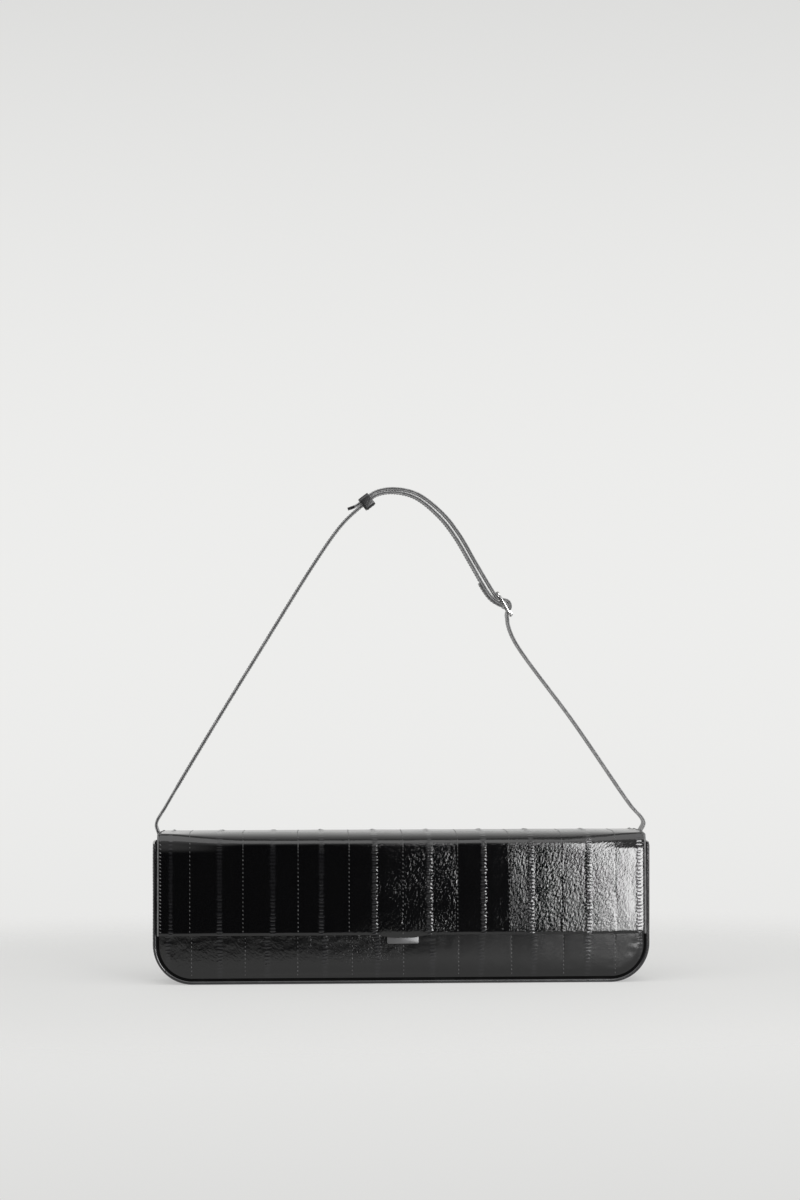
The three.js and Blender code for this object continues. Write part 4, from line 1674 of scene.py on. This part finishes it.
@dataclass
class Strap:
    """The two straps, the buckle that joins them and the keeper that holds the tail."""

    y: float = 10.0
    width: float = 11.0
    thickness: float = 2.0
    layer_spacing: float = 2.2
    foot_x: float = 167.4
    foot_low: float = 74.0
    body_height: float = 96.0
    flap_top: float = 104.5
    foot_bends: dict[int, tuple[float, float]] = field(
        default_factory=lambda: {-1: (0.8, 5.9), 1: (2.0, 7.6)}
    )
    arch: tuple[float, float] = (-6.0, 336.5)
    left_bow: float = 1.5
    right_bow: float = -1.0
    buckle: tuple[float, float] = (72.7, 257.9)
    buckle_down: tuple[float, float] = (0.5, -math.sqrt(0.75))
    keeper: tuple[float, float] = (-22.9, 329.7)
    keeper_tilt: float = math.radians(37.5)
    stitch_inset: float = 1.5
    eye_radius: float = 1.28
    eye_wall: float = 1.1
    fold_thickness: float = 1.2
    hole_diameter: float = 2.4
    hole_spacing: float = 20.0
    hole_count: int = 4
    first_hole_from: float = 12.0
    fold_length: float = 3.36
    fold_slot: tuple[float, float] = (-3.0, 3.0)
    prong_slot: tuple[float, float] = (0.5, 6.5)
    slot_size: tuple[float, float] = (2.8, 12.0)
    eye_halves: tuple[tuple[float, float], ...] = ((4.5, 8.5), (11.5, 15.5))
    tip_taper: tuple[float, ...] = (0.62, 0.84, 0.95, 0.99)
    first_stitch: float = 4.2
    bend_heights: tuple[float, float] = (106.2, 118.0)

    def arch_point(self, across: float, below: float) -> Vector:
        """A point measured from the strap's peak."""
        return Vector((self.arch[0] + across, self.arch[1] - below))

    def buckle_point(self, down: float, out: float) -> Vector:
        """A point measured from the buckle's bar, down the strap and outside it."""
        ahead = Vector(self.buckle_down)
        return Vector(self.buckle) + ahead * down + Vector((-ahead.y, ahead.x)) * out

    def keeper_point(self, along: float, out: float) -> Vector:
        """A point measured from the keeper's middle."""
        ahead = Vector((math.cos(self.keeper_tilt), math.sin(self.keeper_tilt)))
        return Vector(self.keeper) + ahead * along + Vector((-ahead.y, ahead.x)) * out

    def foot(self, side: int) -> list[Vector]:
        """The end of a leg, from inside the gusset to where it leans over the bag."""
        swing, tuck = self.foot_bends[side]
        places = [
            (self.foot_x, self.foot_low),
            (self.foot_x - 0.2, self.body_height - 3),
            (self.foot_x - 1.1, self.body_height + 4),
            (self.foot_x + swing, self.flap_top + 3.2),
            (self.foot_x - tuck, self.flap_top + 15.6),
        ]
        return [Vector((side * x, z)) for x, z in places]

    def leg_middle(self, foot: Vector, shoulder: Vector, bow: float) -> Vector:
        """The middle of a leg, bowed to the left of its line."""
        ahead = (shoulder - foot).normalized()
        return (foot + shoulder) / 2 + Vector((-ahead.y, ahead.x)) * bow

    @cached_property
    def stitched(self) -> Route:
        """Centre line of the stitched strap, from the left gusset to the buckle's bar."""
        foot = self.foot(-1)
        shoulder = self.arch_point(-36.4, 24.9)
        bends = [(0, 0), (16, 3.4), (33.1, 16.9), (44.2, 31.1), (55.3, 50)]
        eye = [(-16, -5.9), (-9.5, -5), (-4.6, -2.8), (-1.2, -0.6)]
        return Route([
            *foot,
            self.leg_middle(foot[-1], shoulder, self.left_bow),
            shoulder,
            *(self.keeper_point(along, 0) for along in (-7.5, 0, 7.5)),
            *(self.arch_point(*bend) for bend in bends),
            *(self.buckle_point(*bend) for bend in eye),
        ])

    @cached_property
    def punched(self) -> Route:
        """Centre line of the punched strap, from the right gusset through the buckle to its tip."""
        foot = self.foot(1)
        shoulder = self.buckle_point(25.4, -6.4)
        through = [
            (13, -4.8), (8.8, -3.1), (5.3, -1.5), (4.1, 0.6), (2.7, 2.6), (0, 3.75),
            (-2.4, 3.2), (-4.7, 0.85), (-7, -1.4), (-9.4, -2.05), (-13, -2.3),
        ]
        slack = [1.1, 1.2, 1.1, 0.7, 0.25, 0.15, 0.15, 0.35]
        under = self.stitched
        start = under.last - 4
        tail = [
            under.points[start - i] + under.left(start - i) * (self.layer_spacing + lift)
            for i, lift in enumerate(slack)
        ]
        return Route([
            *foot,
            self.leg_middle(foot[-1], shoulder, self.right_bow),
            shoulder,
            *(self.buckle_point(*bend) for bend in through),
            *tail,
            self.keeper_point(-13.5, self.layer_spacing + 2.0),
        ])

    def section(self, thickness: float) -> Section:
        """The strap's section: two layers whose painted edges bulge beside a groove."""
        half, lift = self.width / 2, thickness / 2
        layer = [(0.62, 1.0), (0.2, 0.9), (0.0, 0.58), (0.34, 0.3)]
        edge = layer + [(inset, -out) for inset, out in reversed(layer)]
        right = [(half - inset, -out * lift) for inset, out in edge]
        left = [(inset - half, out * lift) for inset, out in edge]
        crown = 0.03
        over = [
            (half * share, lift * (1 + crown * (1 - share**2))) for share in (0.6, 0.2, -0.2, -0.6)
        ]
        under = [(-across, -out) for across, out in over]
        return right + over + left + under

    def at(self, route: Route, place: float, lift: float = 0.0) -> Matrix:
        """A station on a route, lifted to its left."""
        left = route.left(place)
        return station(Y_AXIS, upright(left), upright(route.point(place) + left * lift, self.y))

    def skin(
        self,
        route: Route,
        first: float,
        last: float,
        thickness: float,
        lift: float = 0.0,
    ) -> Shape:
        """The skin of a stretch of strap.

        Args:
            route: the strap's centre line.
            first: place on the route where it starts.
            last: place where it ends.
            thickness: of the leather.
            lift: how far it lies to the left of the route.

        Returns:
            The closed skin.
        """
        places = route.spaced(first, last, STRAP_STEP)
        return swept(self.section(thickness), [self.at(route, place, lift) for place in places])

    def paint_edges(self, bm: Shape) -> None:
        """Puts edge paint, lightened into a painted highlight, on the strap's two long edges, but
        not in the groove between them.
        """
        bm.normal_update()
        for face in bm.faces:
            reach = abs(face.calc_center_median().y - self.y)
            if abs(face.normal.y) > 0.45 and reach > self.width / 2 - 0.25:
                face.material_index = EDGE_SIDE

    def sew(
        self,
        bm: Shape,
        route: Route,
        run: tuple[float, float],
        unders: float,
        stitch: Stitch,
    ) -> None:
        """Sews rows of stitches near both edges, on both faces.

        Args:
            bm: the strap.
            route: its centre line.
            run: places where the rows start and end.
            unders: how far under the centre line the lower face is.
            stitch: the kind of stitch.
        """
        inset = self.width / 2 - self.stitch_inset
        places = route.spaced(*run, stitch.pitch)[:-1]
        for side in (-1, 1):
            thread = bmesh.new()
            for place in places:
                here = self.at(route, place)
                across, out, ahead = (here.to_3x3().col[i].normalized() for i in range(3))
                spot = here.translation + across * side * inset
                stitch.add(thread, spot + out * self.thickness / 2, ahead, out)
                stitch.add(thread, spot - out * unders, ahead, -out)
            join(bm, thread, THREAD_SIDE)

    def slot_cutter(self, first: float, last: float) -> Shape:
        """A block that cuts the prong's slot between two places down from the buckle's bar."""
        ahead = Vector(self.buckle_down)
        axes = upright(ahead), Y_AXIS, Vector((ahead.y, 0, -ahead.x))
        width, depth = self.slot_size
        size = Matrix.Diagonal((last - first, width, depth, 1))
        place = Matrix.Translation(self.buckle_space((first + last) / 2, 0, 0))
        bm = bmesh.new()
        matrix = place @ Matrix(axes).transposed().to_4x4() @ size
        bmesh.ops.create_cube(bm, size=1, matrix=matrix)
        return bm

    def add_hole_cutters(self, bm: Shape) -> None:
        """Adds a rod for each adjusting hole."""
        route = self.punched
        places = route.spaced(self.first_hole_from, route.last, self.hole_spacing)
        for place in places[1 : self.hole_count + 1]:
            bmesh.ops.create_cone(
                bm,
                cap_ends=True,
                segments=14,
                radius1=self.hole_diameter / 2,
                radius2=self.hole_diameter / 2,
                depth=3 * self.thickness,
                matrix=self.at(route, place) @ Matrix.Rotation(TURN / 4, 4, "X"),
            )

    @property
    def bend(self) -> Bend:
        """Where the strap's soft ends turn above the bag."""
        start, end = ((0, self.y, z) for z in self.bend_heights)
        return Bend("bag", "strap", start, end)

    def build(self) -> None:
        """Makes the straps, the buckle, its prong and the keeper."""
        self.stitched_strap()
        self.punched_strap()
        self.frame()
        self.prong()
        self.keeper_loop()

    def stitched_strap(self) -> None:
        """Makes the left strap with its end folded round the buckle's bar."""
        route = self.stitched
        fold = route.last - self.fold_length
        strap = self.skin(route, 0, route.last, self.thickness)
        lift = -(self.thickness + self.fold_thickness) / 2 - 0.02
        tab = self.skin(route, fold, route.last - 0.25, self.fold_thickness, lift)
        bm, tab = (carved(skin, self.slot_cutter(*self.fold_slot)) for skin in (strap, tab))
        join(bm, tab)
        for low, high in self.eye_halves:
            join(bm, self.eye(low, high))
        self.paint_edges(bm)
        single = self.thickness / 2
        folded = single + self.fold_thickness
        self.sew(bm, route, (self.first_stitch, fold), single, STRAP_STITCH)
        self.sew(bm, route, (fold + 0.1, route.last - 1), folded, STRAP_STITCH)
        piece = assemble("stitched_strap", bm, STRAP_DRESS)
        hand_over(piece, self.bend, "strap_leather", "left_strap_end", "buckle_strap")

    def round_bar(self, y: float, radius: float) -> list[Matrix]:
        """Stations in a ring round the buckle's bar."""
        middle = upright(Vector(self.buckle), y)
        stations = []
        for i in range(24):
            angle = TURN * i / 24
            out = Vector((math.cos(angle), 0, math.sin(angle)))
            stations.append(station(Y_AXIS, out, middle + out * radius))
        return stations

    def eye(self, low: float, high: float) -> Shape:
        """One half of the fold round the buckle's bar, between two places in Y."""
        wall = self.eye_wall / 2
        ring = self.round_bar((low + high) / 2, self.eye_radius + wall)
        return swept(superellipse((high - low) / 2, wall, 12, 5.0), ring, closed=True)

    def punched_strap(self) -> None:
        """Makes the right strap with its slot, its holes and its free tail."""
        route = self.punched
        cutter = self.slot_cutter(*self.prong_slot)
        self.add_hole_cutters(cutter)
        places = route.spaced(0, route.last, STRAP_STEP)
        stations = [self.at(route, place) for place in places]
        for i, width in enumerate(self.tip_taper):
            stations[-1 - i] = stations[-1 - i] @ Matrix.Diagonal((width, 1, 1, 1))
        bm = carved(swept(self.section(self.thickness), stations), cutter)
        self.paint_edges(bm)
        for run in ((self.first_stitch, 8.2), (16.0, route.last - 0.1)):
            self.sew(bm, route, run, self.thickness / 2, FLAT_STITCH)
        piece = assemble("punched_strap", bm, STRAP_DRESS)
        hand_over(piece, self.bend, "strap_leather", "right_strap_end", "hole_strap")

    def buckle_space(self, down: float, y: float, out: float) -> Vector:
        """A point in space measured from the buckle's bar."""
        return upright(self.buckle_point(down, out), self.y + y)

    def frame(self) -> None:
        """Makes the buckle's frame with its centre bar, rounded all over."""
        half, top, bottom, bar, thick = 8.1, -11.4, 8.6, 2.0, 1.6
        origin = self.buckle_space(0, 0, 0)
        down = self.buckle_space(1, 0, 0) - origin
        out = self.buckle_space(0, 0, 1) - origin
        section = superellipse(thick / 2, bar / 2, 14, 3.6)
        stations = []
        inset = bar / 2
        for point, away in rounded_loop(half - inset, top + inset, bottom - inset, 2.6, 7):
            place = self.buckle_space(point.y, point.x, 0)
            stations.append(station(out, Vector((0, away.x, 0)) + down * away.y, place))
        bm = swept(section, stations, closed=True)
        reach = half - bar / 2
        places = (-reach, -reach / 3, reach / 3, reach)
        rod = [station(down, out, self.buckle_space(0, y, 0)) for y in places]
        join(bm, swept(superellipse(0.8, 0.8, 14, 2.4), rod))
        hand_over(assemble("buckle_loop", bm, (POLISHED,)), "strap", "metal", "buckle_frame")

    def prong(self) -> None:
        """Makes the prong: an eye round the bar and a tapered pin with a blunt tip."""
        half, wall = 0.9, 0.58
        ring = self.round_bar(self.y, self.eye_radius + wall)
        bm = swept(superellipse(half, wall, 12, 3.0), ring, closed=True)
        pin = [
            (0.6, 1.9, 0.9), (2.4, 1.85, 0.98), (5.0, 1.72, 0.92),
            (7.2, 1.62, 0.82), (8.1, 1.6, 0.66), (8.4, 1.6, 0.3),
        ]
        origin = self.buckle_space(0, 0, 0)
        lift = self.buckle_space(0, 0, 1) - origin
        shaft = [station(Y_AXIS, lift, self.buckle_space(d, 0, o), w) for d, o, w in pin]
        join(bm, swept(superellipse(half, 0.6, 12, 2.6), shaft))
        hand_over(assemble("buckle_pin", bm, (POLISHED,)), "prong", "metal", "buckle_prong")

    def keeper_loop(self) -> None:
        """Makes the leather loop that holds the tail, closed by a row of stitches underneath."""
        wall, length = 1.4, 7.5
        half = self.width / 2 + 0.6 + wall / 2
        high = self.thickness / 2 + self.layer_spacing + 0.6 + wall / 2
        low = -self.thickness / 2 - 2.2 - wall / 2
        centre = self.keeper_point(0, 0)
        along, out = (upright(self.keeper_point(*step) - centre) for step in ((1, 0), (0, 1)))
        middle = upright(centre, self.y)
        stations = []
        for point, away in rounded_loop(half, low, high, 1.5, 6):
            place = middle + Vector((0, point.x, 0)) + out * point.y
            stations.append(station(along, Vector((0, away.x, 0)) + out * away.y, place))
        bm = swept(superellipse(length / 2, wall / 2, 20, 6.0), stations, closed=True)
        bm.normal_update()
        # The loop's cut edges take the strap's grey edge paint, a painted highlight.
        for face in bm.faces:
            if abs(face.normal.dot(along)) > 0.6:
                face.material_index = EDGE_SIDE
        under = low - wall / 2
        for y in (-3.2, 3.2):
            STRAP_STITCH.row(
                bm,
                lambda a, y=y: middle + along * a + Vector((0, y, 0)) + out * under,
                lambda a: -out,
                (-3.2, 3.2),
            )
        piece = assemble("keeper_loop", bm, STRAP_DRESS)
        hand_over(piece, "keeper", "strap_leather", "sliding_keeper")


@dataclass(frozen=True)
class Softbox:
    """A rectangular light, by its middle, the point that it faces and its face's brightness."""

    name: str
    place: Point
    aim: Point
    size: tuple[float, float]
    brightness: float

    def hang(self) -> None:
        """Puts the light in the scene."""
        data = bpy.data.lights.new(self.name, "AREA")
        data.shape = "RECTANGLE"
        data.size, data.size_y = self.size
        data.energy = self.brightness * math.pi * self.size[0] * self.size[1]
        light = bpy.data.objects.new(self.name, data)
        light.location = self.place
        ahead = Vector(self.aim) - Vector(self.place)
        light.rotation_euler = ahead.to_track_quat("-Z", "Y").to_euler()
        bpy.context.scene.collection.objects.link(light)


@dataclass
class Studio:
    """The camera, the lights and a pale floor that runs out into a pale backdrop."""

    pale: Colour = (0.812, 0.812, 0.802)
    floor_colour: Colour = (0.72, 0.72, 0.712)
    floor_glow: Colour = (0.715, 0.715, 0.707)
    distance: float = 2.1
    eye_height: float = 0.262
    yaw: float = math.radians(3.2)
    aim: tuple[float, float] = (-0.0017, -0.02)
    frame_height: float = 0.819
    sensor: float = 36.0
    floor_radius: float = 0.9
    floor_squeeze: Point = (0.6, 1.0, 1.0)
    floor_fade: tuple[float, float] = (0.2, 0.5)
    glow_share: float = 0.6
    lights: tuple[Softbox, ...] = (
        Softbox("key", (0.565, -1.3, 0.22), (0.1, 0, 0.2), (0.46, 0.54), 17.0),
        Softbox("overhead", (0.0, -1.2, 1.9), (0, 0, 0.05), (5.0, 2.0), 1.3),
    )

    def build(self) -> None:
        """Sets up everything round the bag."""
        self.camera()
        self.floor()
        self.backdrop()
        for light in self.lights:
            light.hang()
        bpy.context.scene.view_settings.view_transform = "Standard"

    def camera(self) -> None:
        """Stands a level camera in front of the bag, a little to its left."""
        data = bpy.data.cameras.new("camera")
        data.lens = self.sensor * self.distance / self.frame_height
        data.clip_end = 50
        camera = bpy.data.objects.new("camera", data)
        back = Vector((-math.sin(self.yaw), -math.cos(self.yaw))) * self.distance
        camera.location = (self.aim[0] + back.x, self.aim[1] + back.y, self.eye_height)
        camera.rotation_euler = (TURN / 4, 0, -self.yaw)
        bpy.context.scene.collection.objects.link(camera)
        bpy.context.scene.camera = camera

    def shown(self, shader: Shader, mirrored: Wire | float) -> Wire:
        """How much of the pale ground a ray shows.

        Args:
            shader: the tree.
            mirrored: the share that mirrors and glass show.

        Returns:
            1 for the camera's own rays.
        """
        rays = shader.node("ShaderNodeLightPath").socket.node.outputs
        seen, glossy, through = (
            Wire(shader, rays[f"Is {kind} Ray"]) for kind in ("Camera", "Glossy", "Transmission")
        )
        return seen.most(glossy.most(through) * mirrored)

    def floor(self) -> None:
        """Lays a round floor whose rim fades into the backdrop."""
        bm = bmesh.new()
        bmesh.ops.create_circle(bm, cap_ends=True, segments=96, radius=self.floor_radius / MM)
        floor = assemble("floor", bm, ())
        material = bpy.data.materials.new("floor")
        material.use_nodes = True
        shader = Shader(material.node_tree)
        here = shader.node("ShaderNodeTexCoord", {}, {}, "Object")
        multiply, length = {"operation": "MULTIPLY"}, {"operation": "LENGTH"}
        squeezed = shader.node("ShaderNodeVectorMath", multiply, [here, self.floor_squeeze])
        away = shader.node("ShaderNodeVectorMath", length, [squeezed], "Value")
        paper = shader.node("ShaderNodeBsdfDiffuse", {}, {"Color": (*self.floor_colour, 1.0)})
        glow = shader.node("ShaderNodeEmission", {}, {"Color": (*self.floor_glow, 1.0)})
        lit = self.shown(shader, 1.0) * self.glow_share
        paper = shader.node("ShaderNodeMixShader", {}, [lit, paper, glow])
        clear = shader.node("ShaderNodeBsdfTransparent")
        share = away.step(*self.floor_fade)
        both = shader.node("ShaderNodeMixShader", {}, [share, paper, clear])
        shader.node("ShaderNodeOutputMaterial", {}, {"Surface": both})
        floor.data.materials.append(material)

    def backdrop(self) -> None:
        """Surrounds the bag with a pale cove that is open to a dim room at the front."""
        world = bpy.data.worlds.new("studio")
        bpy.context.scene.world = world
        world.use_nodes = True
        shader = Shader(world.node_tree)
        way = shader.node("ShaderNodeTexCoord", {}, {}, "Generated")
        x, y, z = shader.parts(way)
        behind = y.step(-0.02, 0.12)
        cove = behind * (1 - abs(x).step(0.2, 0.45))
        sides = abs(x).step(0.45, 0.9) * 0.6
        ceiling = z.step(0.05, 0.65) * (1 - y.step(-0.3, 0.1)) * 1.3
        room = cove.most(sides).most(ceiling) * 0.98 + 0.012
        wall = 1.045 - (z * z * 4.0).least(0.25)
        seen = self.shown(shader, behind)
        level = room * (1 - seen) + wall * seen
        inputs = {"Color": (*self.pale, 1.0), "Strength": level}
        light = shader.node("ShaderNodeBackground", {}, inputs)
        shader.node("ShaderNodeOutputWorld", {}, {"Surface": light})


CARRIED_OVER: dict[Finish, tuple[str, ...]] = {
    BOARD: ("front_board", "back_board", "base_board"),
    MAGNET: ("front_magnet", "flap_magnet"),
    POLISHED: ("clasp_rivet_left", "clasp_rivet_right", "left_end_rivet", "right_end_rivet"),
}


def dress_carried_over() -> None:
    """Puts finishes on the CAD nodes that stay in sight or inside the walls."""
    for finish, names in CARRIED_OVER.items():
        for name in names:
            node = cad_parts[name]
            node.data.materials.clear()
            node.data.materials.append(finish.material())
            log.info("%s: dressed in %s", name, finish.name)


def main() -> None:
    """Builds the bag piece by piece."""
    logging.basicConfig(level=logging.INFO, format="%(name)s %(message)s")
    Studio().build()
    Body().build()
    flap = Flap()
    flap.build()
    Clasp(flap).build()
    Strap().build()
    dress_carried_over()


if __name__ == "__main__":
    main()
